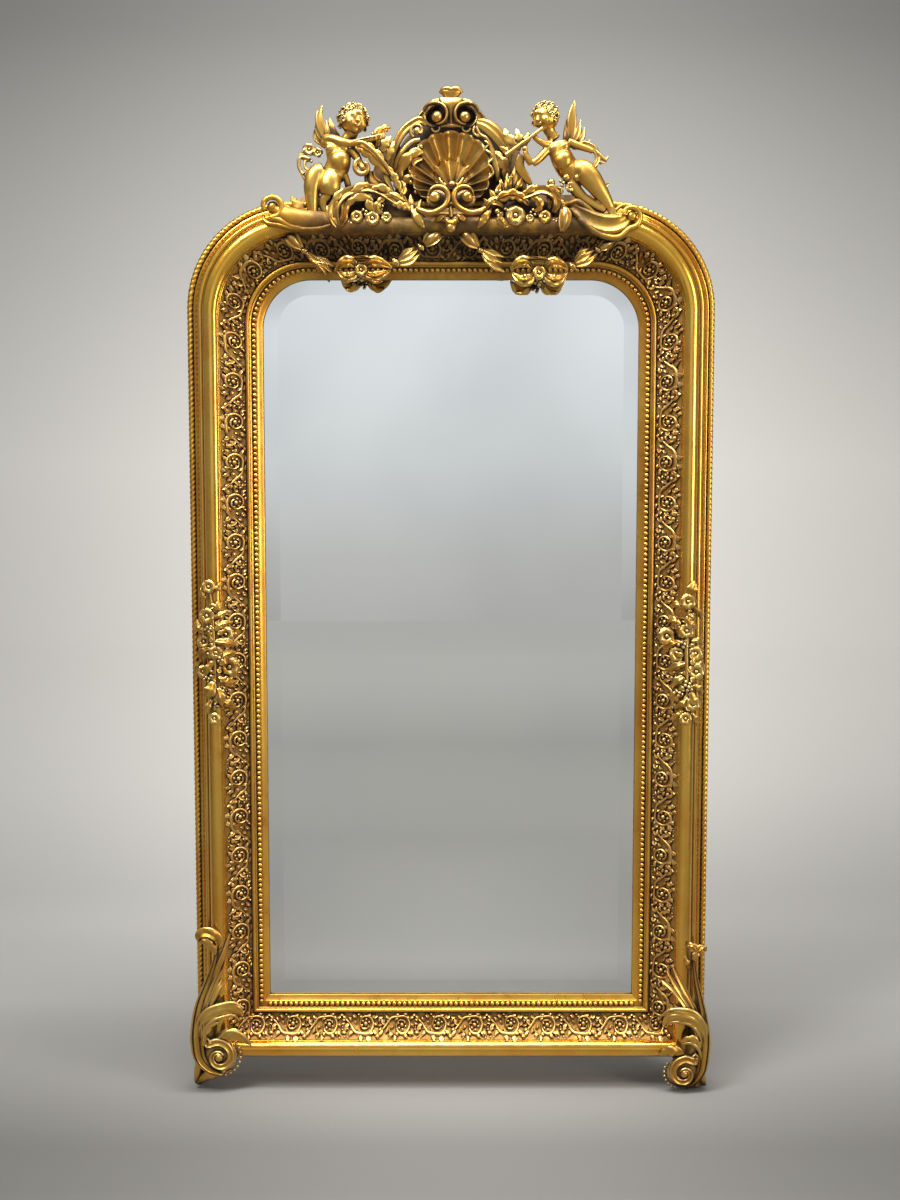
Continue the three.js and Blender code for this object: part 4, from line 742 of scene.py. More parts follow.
@dataclass
class Carving:
    """The carved and cast ornament: crest, children, garlands, flowers and corner scrolls."""

    leaf: Material
    burnished: Material
    # the crest's dark ground: painted shade between the carving, with some soiling
    dark: Material
    brass: Material
    iron: Material

    def gild(self, name: str, forms: Sequence[Form], *nodes: str, finish: Material | None = None) -> None:
        """Carves one gilded piece and hides the nodes that it stands for."""
        Bench.finish(Bench.carve(name, forms), finish or self.leaf, "gilding", *nodes)

    def build(self) -> None:
        """Carves everything."""
        self.ground()
        self.shell()
        self.crown()
        self.shoulders()
        self.base()
        self.acanthus()
        self.laurel()
        self.plinths()
        self.garlands()
        self.children()
        self.side_flowers()
        self.corner_scrolls()
        self.hangers()

    # ---- the cartouche
    def ground(self) -> None:
        """Models the dark ground that the crest's carving stands on: a dark sheet that stands in for the shade between
        the carving, with some soiling.
        """
        forms: list[Form] = [
            line((0, 1740, 0, 1770, 0, 1808, 0, 1846, 0, 1882, 0, 1903, 0, 1918, 0, 1937, 0, 1958, 0, 1967), 24,
                 (100, 112, 108, 106, 98, 82, 58, 52, 36, 14), 7, around=40, steps=5),
            line((-161, 1762, -149, 1789, -134, 1823, -122, 1861, -110, 1888), (50, 40, 36, 32, 30),
                (16, 22, 20, 20, 14), 8, around=20),
            line((118, 1759, 120, 1793, 118, 1831, 112, 1865, 107, 1888), (50, 44, 40, 36, 32), (26, 26, 22, 22, 14),
                8, around=20),
            line((-215, 1744, -184, 1747, -145, 1747, -107, 1744, -72, 1740), (66, 70, 72, 72, 72),
                (16, 24, 26, 22, 14), 10, around=24),
            line((68, 1740, 103, 1745, 141, 1747, 176, 1745, 203, 1740), (72, 72, 72, 70, 66), (14, 22, 26, 24, 16),
                10, around=24)]
        Bench.finish(Bench.carve("crest_ground", forms), self.dark, "gilding")

    def shell(self) -> None:
        """Models the dished scallop: long flutes with sharp ridges, an inner fan and rolled lower folds."""
        root_x, root_z = 0, 1791
        flutes, reach = 13, 108.0
        a = np.linspace(-reach, reach, flutes * 14 + 1)
        turn = np.radians(a)[:, None]
        wide = np.interp(np.abs(a), (0, 20, 35, 50, 61, 73, 90, 110), (113, 112, 108, 97, 89, 80, 70, 52))[:, None]
        across = (a / (2 * reach) * flutes)[:, None]
        off = 2 * (across - np.round(across))
        ridge = off**2
        t = np.concatenate([np.linspace(0.05, 1, 34), np.linspace(1, 0.05, 6)])[None, :]
        front = np.arange(40)[None, :] < 34
        rim = wide * (1 - 0.055 * ridge)
        dish = 36 + 17 * t**1.8 + 4 * np.exp(-((t / 0.16) ** 2))
        inner = 2 * (across * 9 / 13 - np.round(across * 9 / 13))
        fold = 0.56 - 0.14 * (a[:, None] / 60) ** 2
        fan = (t < fold) * (2 + 6 * np.clip(t * 3, 0, 1) * inner**2)
        outer = (t >= fold) * (5 + 10 * ridge * np.clip((t - fold) * 6 + 0.3, 0,
            1) + 3 * np.exp(-(((t - 0.97) / 0.04) ** 2)))
        h = np.where(front, dish + fan + outer, dish - 6)
        x, z = root_x + rim * t * np.sin(turn), root_z + rim * t * np.cos(turn)
        plate = Bench.weld("fan", [Bench.sheet(metres(x, z, h))], sharp=55, cap=True)
        forms: list[Form] = [Ball(2, 1804, 52, 7, 0.8)]
        for side in (-1, 1):
            forms.append(Ball(side * 13, 1803, 49, 5, 0.8))
            forms.append(line((side * 8, 1796, side * 18, 1806, side * 24, 1818), (50, 52, 50), (2, 3, 1), (3, 4, 2),
                steps=6))
        edge = Bench.carve("root", forms)
        Bench.hold(edge, plate)
        bpy.ops.object.join()
        edge.name = "scallop_shell"
        Bench.finish(edge, self.leaf, "gilding", "shell")

    def crown(self) -> None:
        """Models the crown: a flared stem between two volutes, outer leaves, cusps and the finial cup."""
        forms: list[Form] = [
            line((0, 1907, 0, 1920, 0, 1937, 0, 1952, 0, 1964), (60, 63, 66, 68, 66), (4, 4.5, 9, 19, 24),
                 (5, 6, 7, 8, 5), around=28),
            line((-21, 1910, -10, 1912, 0, 1912, 10, 1912, 21, 1910), 62, (3, 4, 4.4, 4, 3), (4, 6, 7, 6, 4)),
            line((0, 1958, 0, 1966, 0, 1975, 0, 1982), (64, 65, 66, 66), (11, 15, 21, 19), (6, 8, 9, 6), around=28),
            line((-22, 1972, -16, 1978, -8, 1980, 0, 1978, 8, 1980, 16, 1978, 22, 1972), (66, 69, 71, 71, 71, 69, 66),
                 (2.6, 3.6, 4.4, 4.8, 4.4, 3.6, 2.6), (3, 5, 6, 6, 6, 5, 3), around=14),
        ]
        for side in (-1, 1):
            def at(px: float, pz: float, side: int = side) -> tuple[float, float]:
                """Returns a spot of the left half, or its mirror on the right."""
                return (-side * px, pz)

            forms.append(eye(*at(-26, 1927), 70, 11.2))
            band = [at(-54, 1935), at(-50, 1945), at(-41, 1951), at(-27, 1952), at(-15, 1947), at(-8, 1935),
                at(-10, 1922),
                    at(-19, 1915), at(-30, 1914)]
            flat = [value for spot in band for value in spot]
            forms.append(line(flat, (64, 68, 72, 74, 75, 75, 73, 70, 66), (1.8, 2.8, 3.2, 3.4, 3.4, 3.2, 3, 2.6, 1.8),
                (4, 8, 10, 10, 10, 10, 9, 7, 5),
                              Cut.ROUND, around=16, steps=6))
            forms.append(leafy([*at(-10, 1957), *at(-23, 1956), *at(-35, 1952), *at(-45, 1945), *at(-50, 1933),
                *at(-51, 1920)],
                               (62, 60, 56, 52, 48, 42), 8.5, 7, 0, around=22))
            forms.append(line([*at(-14, 1962), *at(-29, 1958), *at(-43, 1949), *at(-52, 1937), *at(-62, 1925),
                *at(-75, 1913)],
                              (56, 56, 55, 54, 52, 50), (4, 6, 7, 7.5, 7.5, 5), (5, 6, 7, 7, 6, 4), Cut.CHANNEL,
                              around=20))
            forms.append(line([*at(-50, 1933), *at(-48, 1920), *at(-39, 1912), *at(-27, 1911)], (56, 57, 57, 55),
                (3, 3.6, 3, 2), (6, 7, 6, 4), around=14))
            forms.append(coil(*at(-29, 1908), (180, 360 + 20) if side < 0 else (0, -200), (8.5, 7), (64, 64),
                (2.4, 2.0), (4, 4), around=10))
            forms.append(Ball(*at(-27, 1937), 46, 24, 0.8, 0.3, 24, 8))
        self.gild("crown", forms, "crown_volutes")

    def shoulders(self) -> None:
        """Models the scrolls beside the shell: a double band on the left, a broad folded one on the right."""
        left: list[Form] = [
            coil(-65, 1903, (250, -60), (15, 8), (60, 63), (3.6, 3.2), (5, 5), Cut.ROUND, around=12),
            eye(-65, 1902, 62, 7.5),
            line((-45, 1914, -60, 1922, -78, 1914, -93, 1901, -105, 1882, -112, 1861, -116, 1840, -112, 1823),
                (60, 60, 58, 56, 53, 50, 48, 45),
                 (5, 8, 9, 8.5, 8, 7.5, 7, 4), (5, 7, 8, 8, 8, 7, 6, 4), Cut.CHANNEL, around=20),
            line((-58, 1886, -74, 1882, -89, 1869, -101, 1852, -107, 1835, -107, 1819), (62, 62, 61, 60, 57, 52),
                (4, 5, 5.5, 5, 4.5, 3),
                 (5, 6, 6, 6, 5, 4), around=14),
            leafy((-52, 1861, -68, 1861, -83, 1852, -95, 1835, -101, 1814, -97, 1797), (62, 66, 66, 62, 57, 50), 12,
                8, 3, 0.4, around=22),
            blade((-54, 1850, -68, 1846, -78, 1835, -81, 1818), (60, 62, 60, 55), 6, 5),
            leafy((-66, 1808, -79, 1816, -91, 1804, -91, 1781), (56, 58, 56, 52), 9, 6, around=16),
        ]
        for px, pz in ((-58, 1873), (-72, 1840), (-79, 1825), (-78, 1806), (-68, 1787)):
            left.append(Ball(px, pz, 58, 4.2, 1.2))
        self.gild("left_shoulder", left, "shoulder_scroll_left")
        right: list[Form] = [
            line((48, 1918, 64, 1914, 81, 1903, 97, 1886, 107, 1865, 110, 1842), (62, 61, 58, 54, 50, 46),
                (8, 13, 15, 14, 10, 5),
                 (5, 7, 8, 7, 6, 4), Cut.REED, around=26, tilt=-14),
            line((48, 1911, 56, 1895, 68, 1888, 76, 1873, 83, 1850, 89, 1827, 93, 1808), (63, 64, 64, 62, 60, 56, 50),
                 (3, 3.4, 3.2, 5, 8, 8, 4), (5, 6, 6, 6, 7, 6, 4), around=14),
            leafy((79, 1865, 95, 1850, 105, 1831, 107, 1808), (58, 62, 60, 52), 12, 7, around=16),
            coil(54, 1901, (120, 330), (13, 7), (62, 64), (3, 2.6), (4, 4), around=10),
        ]
        wave = (64, 1884, 72, 1876, 66, 1867, 76, 1859, 81, 1850, 72, 1840, 79, 1831, 81, 1821, 72, 1812, 72, 1799,
            64, 1785)
        right.append(line(wave, (64, 66, 64, 66, 65, 64, 65, 64, 62, 60, 56), (2.4, 2.8, 2.6, 2.2), (4, 4.6, 4, 3),
            around=10, steps=6))
        self.gild("right_shoulder", right, "shoulder_scroll_right")

    def base(self) -> None:
        """Models the lyre of two volutes under the shell, with its pendant palmette."""
        forms: list[Form] = []
        for side in (-1, 1):
            def at(px: float, pz: float, side: int = side) -> tuple[float, float]:
                """Returns a spot of the left half, or its mirror on the right."""
                return (-side * px, pz)

            forms.append(eye(*at(-31, 1771), 102, 11.4))
            band = [at(-43, 1772), at(-41, 1781), at(-33, 1788), at(-20, 1789), at(-10, 1783), at(-5, 1770),
                at(-10, 1756),
                    at(-24, 1745), at(-41, 1741), at(-58, 1746), at(-68, 1753)]
            flat = [value for spot in band for value in spot]
            forms.append(line(flat, (101, 103, 105, 106, 106, 106, 106, 106, 104, 101, 95),
                (1.8, 2.8, 3.8, 4.6, 5, 5.2, 5.4, 5.4, 5.2, 4.8, 3.4),
                              (6, 9, 9, 8, 8, 8, 8, 8, 8, 7, 4), around=20, steps=6))
            forms.append(Ball(*at(-27, 1768), 88, 20, 0.9, 0.3, 24, 8))
            forms.append(leafy([*at(-6, 1734), *at(-16, 1734), *at(-25, 1730), *at(-32, 1725)], (96, 99, 98, 90), 5.5,
                6, 0, around=14))
            forms.append(leafy([*at(-72, 1751), *at(-68, 1740), *at(-60, 1726), *at(-50, 1713)], (88, 94, 97, 92), 9,
                8, 0))
            forms.append(line([*at(-76, 1759), *at(-74, 1744), *at(-66, 1730)], (84, 90, 92), (3, 4, 2), (4, 5, 3),
                around=12))
        forms += [Ball(0, 1714, 98, 9.5, 1.0, 0.8), line((0, 1759, 0, 1745, 0, 1732), (96, 100, 98), (3, 4.5, 4), 6)]
        for turn in (-68, -36, 0, 36, 68):
            c, s = math.sin(math.radians(turn)), math.cos(math.radians(turn))
            forms.append(blade((0, 1731, 10 * c, 1731 - 9 * s, 17 * c, 1731 - 17 * s), (97, 104, 98), 5.2, 5,
                around=12))
        self.gild("base_lyre", forms, "base_volutes", finish=self.leaf)

    def acanthus(self) -> None:
        """Models the two acanthus arches that join the cartouche to the outer scrolls, with their flowers."""
        left: list[Form] = [
            line((-213, 1713, -223, 1728, -225, 1747, -217, 1764, -202, 1778, -180, 1786, -155, 1788, -132, 1781,
                -112, 1768, -93, 1757,
                  -72, 1749), (84, 88, 92, 94, 95, 95, 94, 93, 92, 91, 86),
                  (5, 11, 12, 10.5, 9.5, 9, 8.5, 8.5, 8, 7, 4),
                 (5, 11, 12, 12, 11, 10, 10, 10, 9, 8, 5), Cut.CHANNEL, around=26),
            leafy((-215, 1715, -205, 1734, -202, 1755, -192, 1770, -176, 1776), (88, 93, 94, 92, 86), 9, 7, 3, 0.35,
                side=-1, around=20),
            leafy((-207, 1747, -192, 1764, -172, 1772, -155, 1766, -157, 1753), (90, 96, 97, 95, 88), 9, 7),
            leafy((-153, 1781, -159, 1764, -149, 1749, -132, 1745), (92, 95, 93, 86), 9, 7),
            leafy((-122, 1774, -138, 1762, -141, 1747, -126, 1740), (92, 96, 95, 88), 8, 6, around=16),
            leafy((-114, 1759, -101, 1757, -85, 1753, -72, 1745), (92, 97, 96, 88), 8, 6, 4, 0.4),
            leafy((-103, 1764, -95, 1778, -91, 1793, -97, 1808), (84, 84, 80, 72), 8, 6, around=16),
            blade((-219, 1725, -211, 1744, -198, 1757), (86, 88, 84), 5, 4),
            leafy((-213, 1721, -229, 1732, -236, 1747, -231, 1761), (86, 94, 95, 90), 8, 6),
            leafy((-217, 1747, -221, 1764, -211, 1780, -196, 1785), (94, 99, 99, 92), 8, 6, 3, 0.35),
            leafy((-192, 1770, -184, 1783, -167, 1793, -149, 1792), (96, 101, 100, 92), 8, 6, 3, 0.35),
            leafy((-157, 1781, -140, 1789, -122, 1785, -110, 1776), (96, 100, 98, 90), 7.5, 6, 3, 0.35),
            leafy((-130, 1772, -112, 1776, -97, 1768, -83, 1761), (94, 97, 95, 88), 6.5, 5, 3, 0.35, around=16),
            blade((-186, 1721, -165, 1719, -141, 1721), (84, 87, 84), 4, 4),
        ]
        left += bloom(-181, 1735, 92, 13, 6, 10) + bloom(-151, 1732, 92, 15, 6) + bloom(-124, 1734, 92, 11, 5, 20)
        left += berries(-165, 1745, 90, 3.4, 6, 9) + berries(-134, 1755, 90, 3.2, 5, 8) + berries(-194, 1723, 88, 3.2,
            4, 7)
        self.gild("left_acanthus", left, "acanthus_scroll_left")
        right: list[Form] = [
            line((58, 1715, 68, 1734, 64, 1751, 74, 1761, 91, 1759, 101, 1753), (84, 88, 92, 94, 93, 88),
                (5, 6, 5, 5, 5, 3),
                 (5, 7, 7, 7, 6, 4), Cut.CHANNEL, around=16),
            eye(89, 1745, 92, 5.5),
            leafy((76, 1757, 95, 1770, 118, 1776, 138, 1768, 151, 1755), (88, 95, 98, 96, 90), 11, 8, 5, 0.4,
                around=24),
            line((114, 1774, 138, 1774, 157, 1781, 174, 1785, 190, 1781, 202, 1770, 203, 1755, 196, 1742),
                (88, 92, 94, 95, 95, 94, 92, 86),
                 (5, 8, 8.5, 9, 9.4, 9, 8, 4), (6, 9, 10, 10, 10, 10, 9, 5), Cut.CHANNEL, around=24),
            leafy((149, 1774, 165, 1766, 171, 1753, 159, 1744), (92, 98, 98, 92), 9, 7, around=16),
            leafy((184, 1776, 190, 1762, 186, 1747), (90, 92, 88), 6, 5, around=16),
            leafy((101, 1745, 93, 1734, 101, 1721, 116, 1717), (88, 93, 93, 88), 8, 6, around=16),
            blade((134, 1721, 153, 1717, 172, 1719), (84, 88, 84), 4.4, 4),
            leafy((134, 1770, 145, 1781, 161, 1789, 176, 1790), (92, 98, 98, 90), 7.5, 6, 3, 0.35),
            leafy((169, 1780, 186, 1789, 202, 1783, 209, 1770), (94, 99, 97, 90), 7.5, 6, 3, 0.35),
            leafy((196, 1770, 209, 1764, 213, 1751, 205, 1740), (92, 96, 94, 86), 7, 6, 3, 0.35, around=16),
            leafy((64, 1744, 72, 1759, 85, 1768, 101, 1764), (90, 96, 96, 90), 6.5, 5, 3, 0.35, around=16),
        ]
        right += bloom(124, 1737, 93, 20, 7, 12) + bloom(180, 1735, 93, 13, 7) + bloom(151, 1732, 92, 9, 5)
        right += berries(161, 1745, 90, 3.2, 6, 9) + berries(107, 1747, 90, 3.4, 3, 5) + berries(200, 1726, 88, 3, 4,
            7)
        right += husk((215, 1755, 219, 1740, 217, 1721, 213, 1706), (92, 97, 97, 92), 12, 8)
        self.gild("right_acanthus", right, "acanthus_scroll_right")

    def laurel(self) -> None:
        """Models the laurel leaves that spread behind the acanthus arches."""
        left: list[Form] = [blade(spots, h, 8, 5, around=14) for spots, h in (
            ((-99, 1744, -105, 1762, -114, 1781), (70, 76, 72)), ((-91, 1744, -91, 1764, -97, 1789), (70, 78, 72)),
            ((-83, 1742, -78, 1761, -78, 1781), (70, 76, 70)), ((-107, 1744, -120, 1757, -130, 1772), (70, 75, 70)),
            ((-79, 1740, -66, 1757, -58, 1772), (68, 72, 66)))]
        left += husk((-70, 1747, -58, 1734, -50, 1715), (76, 84, 80), 9, 6)
        self.gild("left_laurel", left, "laurel_spray_left")
        right: list[Form] = [leafy(spots, h, w, 6, 0, around=16) for spots, h, w in (
            ((110, 1762, 99, 1789, 95, 1812), (72, 76, 70), 7), ((114, 1762, 110, 1793, 109, 1823), (72, 80, 74),
                7.5),
            ((116, 1762, 120, 1800, 126, 1838), (72, 82, 78), 9),
            ((120, 1762, 136, 1789, 141, 1823), (72, 80, 74), 8.5),
            ((126, 1762, 145, 1778, 157, 1800), (72, 76, 70), 8), ((105, 1759, 85, 1774, 74, 1789), (76, 82, 76), 8),
            ((107, 1766, 91, 1785, 95, 1800), (78, 84, 78), 6.5), ((95, 1751, 76, 1759, 62, 1772), (80, 86, 80), 6),
            ((118, 1778, 132, 1797, 136, 1812), (84, 88, 82), 6),
            ((116, 1781, 112, 1800, 118, 1819), (84, 88, 84), 5))]
        right += berries(95, 1770, 84, 3.2, 4, 7)
        self.gild("right_laurel", right, "laurel_spray_right")

    def plinths(self) -> None:
        """Models the smooth scrolls that the children rest on."""
        left: list[Form] = [
            line((-227, 1734, -254, 1730, -285, 1729, -310, 1735, -329, 1745, -343, 1753), (86, 91, 93, 94, 92, 88),
                (10, 16, 19, 18, 13, 6),
                 (8, 14, 15, 15, 11, 6), around=28),
            coil(-343, 1753, (-95, 215), (21, 16), (97, 99), (6.5, 5), (8, 7), Cut.ROUND, around=16,
                 lead=(-281, 1711, -308, 1717, -329, 1728)),
            eye(-342, 1753, 88, 12),
            line((-229, 1721, -250, 1713, -281, 1711, -308, 1713, -331, 1719, -355, 1725, -362, 1740),
                (90, 94, 96, 96, 95, 92, 86),
                 (3, 4.5, 5, 5, 4.6, 4, 2.5), (4, 7, 8, 8, 7, 6, 4), around=14),
            leafy((-277, 1730, -287, 1749, -300, 1764, -308, 1776), (86, 90, 88, 82), 10, 7),
            leafy((-293, 1728, -308, 1747, -324, 1761), (84, 86, 80), 8, 6, around=16),
        ]
        self.gild("left_plinth", left, "plinth_scroll_left", finish=self.burnished)
        right: list[Form] = [
            line((231, 1755, 250, 1740, 273, 1726, 300, 1719, 324, 1723, 341, 1736), (88, 93, 95, 95, 94, 90),
                (6, 13, 18, 20, 17, 9),
                 (6, 12, 14, 15, 13, 8), Cut.CHANNEL, around=28),
            coil(343, 1736, (-95, 185), (25, 12), (98, 100), (6, 5), (9, 8), Cut.ROUND, around=16,
                 lead=(242, 1734, 266, 1713, 293, 1698, 322, 1696)),
            eye(347, 1736, 94, 10),
            line((223, 1759, 242, 1764, 260, 1753, 281, 1740), (90, 93, 94, 88), (3, 5, 5, 2), (4, 6, 6, 3),
                around=12),
            line((312, 1745, 331, 1757, 351, 1753, 364, 1738, 362, 1717), (88, 90, 91, 90, 88), (3, 4, 4, 4, 3), 5,
                around=12),
        ]
        self.gild("right_plinth", right, "plinth_scroll_right", finish=self.burnished)

    def garlands(self) -> None:
        """Models the two swags of husks, leaves, knots and fruit that hang over the frieze."""
        left: list[Form] = []
        left += husk((-318, 1706, -310, 1700, -300, 1689, -287, 1677), (72, 78, 78, 72), 14, 10)
        left += knot(-285, 1674, 70, 7)
        for tip, w, h in (((-233, 1633), 8, 66), ((-242, 1628), 7, 62), ((-227, 1645), 7.5, 64),
            ((-258, 1632), 6, 60)):
            left.append(blade((-281, 1671, -266, 1658, *((np.array((-266, 1658)) + np.array(tip)) / 2 + (2, 2)),
                *tip), (70, 72, 70, h), w, 6, around=14))
        for spots, w in (((-180, 1641, -194, 1652, -209, 1651, -225, 1637), 12.5),
            ((-180, 1633, -194, 1624, -207, 1625, -221, 1637), 11),
                         ((-169, 1641, -155, 1652, -138, 1651, -112, 1641), 12.5),
                         ((-169, 1633, -153, 1624, -136, 1627, -116, 1639), 11),
                         ((-200, 1655, -178, 1659, -153, 1658, -122, 1654), 5),
                         ((-190, 1628, -202, 1619, -213, 1616), 8),
                         ((-159, 1626, -147, 1618, -132, 1616), 8)):
            left.append(leafy(spots, (70, 77, 75, 66), w, 9, 0, around=20))
        left += bloom(-174, 1637, 74, 14, 6, 10) + berries(-174, 1624, 66, 3.6, 5, 8)
        left += knot(-107, 1652, 70, 7)
        for spots, w in (((-103, 1654, -83, 1662, -64, 1675), 9), ((-101, 1647, -79, 1652, -60, 1668), 7.5),
            ((-101, 1658, -85, 1671, -70, 1681), 7)):
            left.append(blade(spots, (68, 74, 70), w, 6, around=14))
        left += knot(-58, 1681, 70, 6.5)
        left += husk((-52, 1685, -41, 1694, -27, 1704, -14, 1711), (70, 78, 78, 72), 14, 10)
        self.gild("left_garland", left, "garland_left")
        right: list[Form] = []
        right += husk((19, 1713, 29, 1702, 41, 1690, 54, 1679), (72, 78, 78, 72), 14, 10)
        right += knot(57, 1675, 70, 6.5)
        for spots, w in (((60, 1671, 76, 1660, 99, 1651), 9), ((60, 1668, 74, 1652, 93, 1639), 8),
            ((62, 1675, 81, 1668, 103, 1662), 7.5),
                         ((64, 1664, 83, 1645, 105, 1633), 8)):
            right.append(blade(spots, (70, 74, 68), w, 6, around=14))
        for spots, w in (((161, 1639, 147, 1652, 132, 1651, 114, 1639), 12.5),
            ((161, 1630, 149, 1618, 134, 1618, 118, 1633), 13),
                         ((180, 1639, 194, 1650, 209, 1649, 229, 1639), 12.5),
                         ((180, 1630, 194, 1618, 209, 1618, 227, 1633), 13),
                         ((128, 1655, 155, 1657, 186, 1656, 221, 1652), 5), ((157, 1620, 143, 1612, 130, 1609), 8),
                         ((186, 1620, 198, 1612, 213, 1609), 8)):
            right.append(leafy(spots, (70, 77, 75, 66), w, 9, 0, around=20))
        right += bloom(171, 1632, 74, 15, 6, 20) + berries(171, 1616, 64, 4, 5, 8)
        right += knot(236, 1645, 68, 6.5)
        for spots, w in (((240, 1651, 258, 1662, 277, 1675), 9), ((242, 1645, 262, 1651, 283, 1668), 8),
            ((240, 1656, 254, 1670, 269, 1679), 7)):
            right.append(blade(spots, (68, 74, 70), w, 6, around=14))
        right += knot(285, 1676, 70, 6)
        right += husk((287, 1677, 297, 1683, 308, 1688, 320, 1693), (70, 76, 76, 72), 11, 9)
        self.gild("right_garland", right, "garland_right")

    # ---- the children
    def figure(self, name: str, body: Sequence[Form], curls: Sequence[Form], node: str) -> None:
        """Models one child: its body and face melted into one skin, with crisp curls set on."""
        skin = Bench.carve(name, body)
        Bench.modify(skin, "REMESH", mode="VOXEL", voxel_size=SKIN_VOXEL, use_smooth_shade=True)
        Bench.modify(skin, "SMOOTH", factor=0.5, iterations=3)
        hair = Bench.carve(name + "_hair", curls)
        Bench.hold(skin, hair)
        bpy.ops.object.join()
        Bench.finish(skin, self.leaf, "gilding", node)

    @staticmethod
    def head(x: float, z: float, h: float, r: float, look: float, nod: float, hair: tuple[float, float],
        thick: int = 26,
             ) -> tuple[list[Form], list[Form]]:
        """Returns a plain calm child's head and its curls.

        Args:
            x: The head's middle.
            z: The head's middle.
            h: The head's middle.
            r: The skull's radius.
            look: How far the face is turned sideways, in degrees; positive is to the right.
            nod: How far the head tips, in degrees anticlockwise on the wall.
            hair: The angles between which curls ring the face, anticlockwise from the right.
            thick: How many curls there are.
        """
        yaw, tip = math.radians(look), math.radians(nod)

        def spot(right: float, up: float, out: float) -> tuple[float, float, float]:
            """Turns a place on the face, in skull radii, into the head's place on the wall."""
            a = right * math.cos(yaw) + out * math.sin(yaw)
            b = out * math.cos(yaw) - right * math.sin(yaw)
            return (x + r * (a * math.cos(tip) - up * math.sin(tip)),
                z + r * (a * math.sin(tip) + up * math.cos(tip)), h + r * b)

        face: list[Form] = [Ball(x, z, h, r, 1.06, 0.98, 22, 14)]
        for right, up, out, size, tall, deep in (
                (-0.42, -0.3, 0.62, 0.36, 1, 1), (0.42, -0.3, 0.62, 0.36, 1, 1), (0, -0.78, 0.56, 0.26, 0.9, 1),
                (0, -0.02, 0.98, 0.10, 1.8, 1), (0, -0.16, 1.06, 0.15, 0.9, 1), (0, 0.42, 0.66, 0.5, 0.6, 0.7),
                (-0.1, -0.43, 0.93, 0.12, 0.45, 0.7), (0.1, -0.43, 0.93, 0.12, 0.45, 0.7),
                (0, -0.54, 0.9, 0.14, 0.5, 0.8),
                (-0.34, 0.06, 0.83, 0.14, 0.75, 0.8), (0.34, 0.06, 0.83, 0.14, 0.75, 0.8)):
            face.append(Ball(*spot(right, up, out), size * r, tall, deep, 14, 9, turn=nod))
        for right in (-0.34, 0.34):
            face.append(line((*spot(right - 0.2, 0.2, 0.86)[:2], *spot(right, 0.27, 0.92)[:2],
                *spot(right + 0.2, 0.2, 0.86)[:2]),
                             (spot(right - 0.2, 0.2, 0.84)[2], spot(right, 0.27, 0.9)[2],
                                 spot(right + 0.2, 0.2, 0.84)[2]), 0.07 * r, 0.08 * r))
        face.append(Ball(*spot(0, -0.9, 0.0), 0.5 * r, 1.2, 0.8))
        curls: list[Form] = []
        golden = math.pi * (3 - math.sqrt(5))
        low, high = hair
        for i in range(thick * 3):
            up = 1 - 2 * (i + 0.5) / (thick * 3)
            a = golden * i
            flat = math.sqrt(1 - up * up)
            right, out = flat * math.cos(a), flat * math.sin(a)
            if out > 0.55 and up < 0.62 or up < -0.55 or out < -0.5:
                continue
            cx, cz, ch = spot(right * 1.02, up * 1.06, out * 0.98)
            size = r * (0.21 + 0.03 * math.sin(5 * i))
            curls.append(coil(cx, cz, (low + 70 * i, high + 70 * i), (size, size * 0.45), (ch - 1, ch + size * 0.4),
                (size * 0.36, size * 0.3),
                              (size * 0.5, size * 0.5), around=8, steps=2))
            curls.append(Ball(cx, cz, ch, size * 0.55, around=8, levels=5))
        return face, curls

    def children(self) -> None:
        """Models both children with their wings, the fiddle and bow, and the flute."""
        face, curls = self.head(-187, 1918, 84, 26, 26, -8, (0, 420))
        body: list[Form] = face + [
            line((-194, 1890, -203, 1876), (82, 80), (11, 13), (10, 11), around=18),
            line((-213, 1882, -219, 1863, -215, 1842, -223, 1821, -236, 1802), (78, 80, 82, 81, 80),
                (20, 21, 23, 23, 18), (16, 18, 20, 19, 16), around=28),
            Ball(-213, 1840, 92, 20, 1.0, 0.9, 20, 12), Ball(-231, 1863, 90, 10.5), Ball(-205, 1863, 90, 10),
            line((-250, 1880, -234, 1874, -215, 1871, -196, 1867), (76, 80, 82, 82), (9, 12, 12, 9), (10, 13, 13, 10),
                around=18),
            line((-246, 1880, -229, 1882, -207, 1874, -192, 1871), (80, 88, 96, 97), (9.5, 9, 8.5, 7), (9, 9, 8, 7),
                around=18),
            line((-196, 1871, -176, 1873, -161, 1877, -147, 1880), (97, 99, 99, 97), (7.2, 6.8, 5.4, 4.6),
                (7, 6.6, 5.4, 4.6), around=16),
            Ball(-145, 1881, 97, 6, 0.9),
            line((-194, 1865, -182, 1850, -174, 1835, -169, 1827), (84, 88, 92, 95), (10, 8.5, 6.8, 6),
                (10, 8.5, 6.8, 6), around=16),
            Ball(-168, 1826, 96, 6.8, 1, 0.9),
            line((-242, 1823, -258, 1816, -266, 1795, -267, 1774, -266, 1753, -264, 1738), (80, 84, 86, 86, 86, 88),
                (17, 19, 17, 14, 11, 9),
                 (16, 18, 17, 14, 12, 9), around=22),
            Ball(-268, 1778, 92, 11, 1.2, 0.8),
            line((-264, 1744, -262, 1734, -258, 1730), (88, 93, 98), (8.5, 9, 7), (7, 7, 6), around=16),
            line((-229, 1823, -231, 1806, -233, 1789, -236, 1774), (84, 91, 93, 88), (17, 20.5, 20.5, 15),
                (17, 18, 18, 14), around=26),
            line((-234, 1778, -244, 1764, -242, 1749, -234, 1742), (88, 86, 86, 90), (13, 10, 8, 6.5), (12, 10, 8, 6),
                around=18),
            line((-227, 1774, -219, 1762, -229, 1751), (84, 86, 86), (8, 7.5, 6), (8, 7, 6), around=14),
            line((-209, 1825, -202, 1810, -198, 1793, -203, 1781), (82, 82, 80, 78), (7, 6.5, 6, 4), (7, 7, 6, 4),
                around=14),
        ]
        self.figure("left_child", body, curls, "cherub_left")
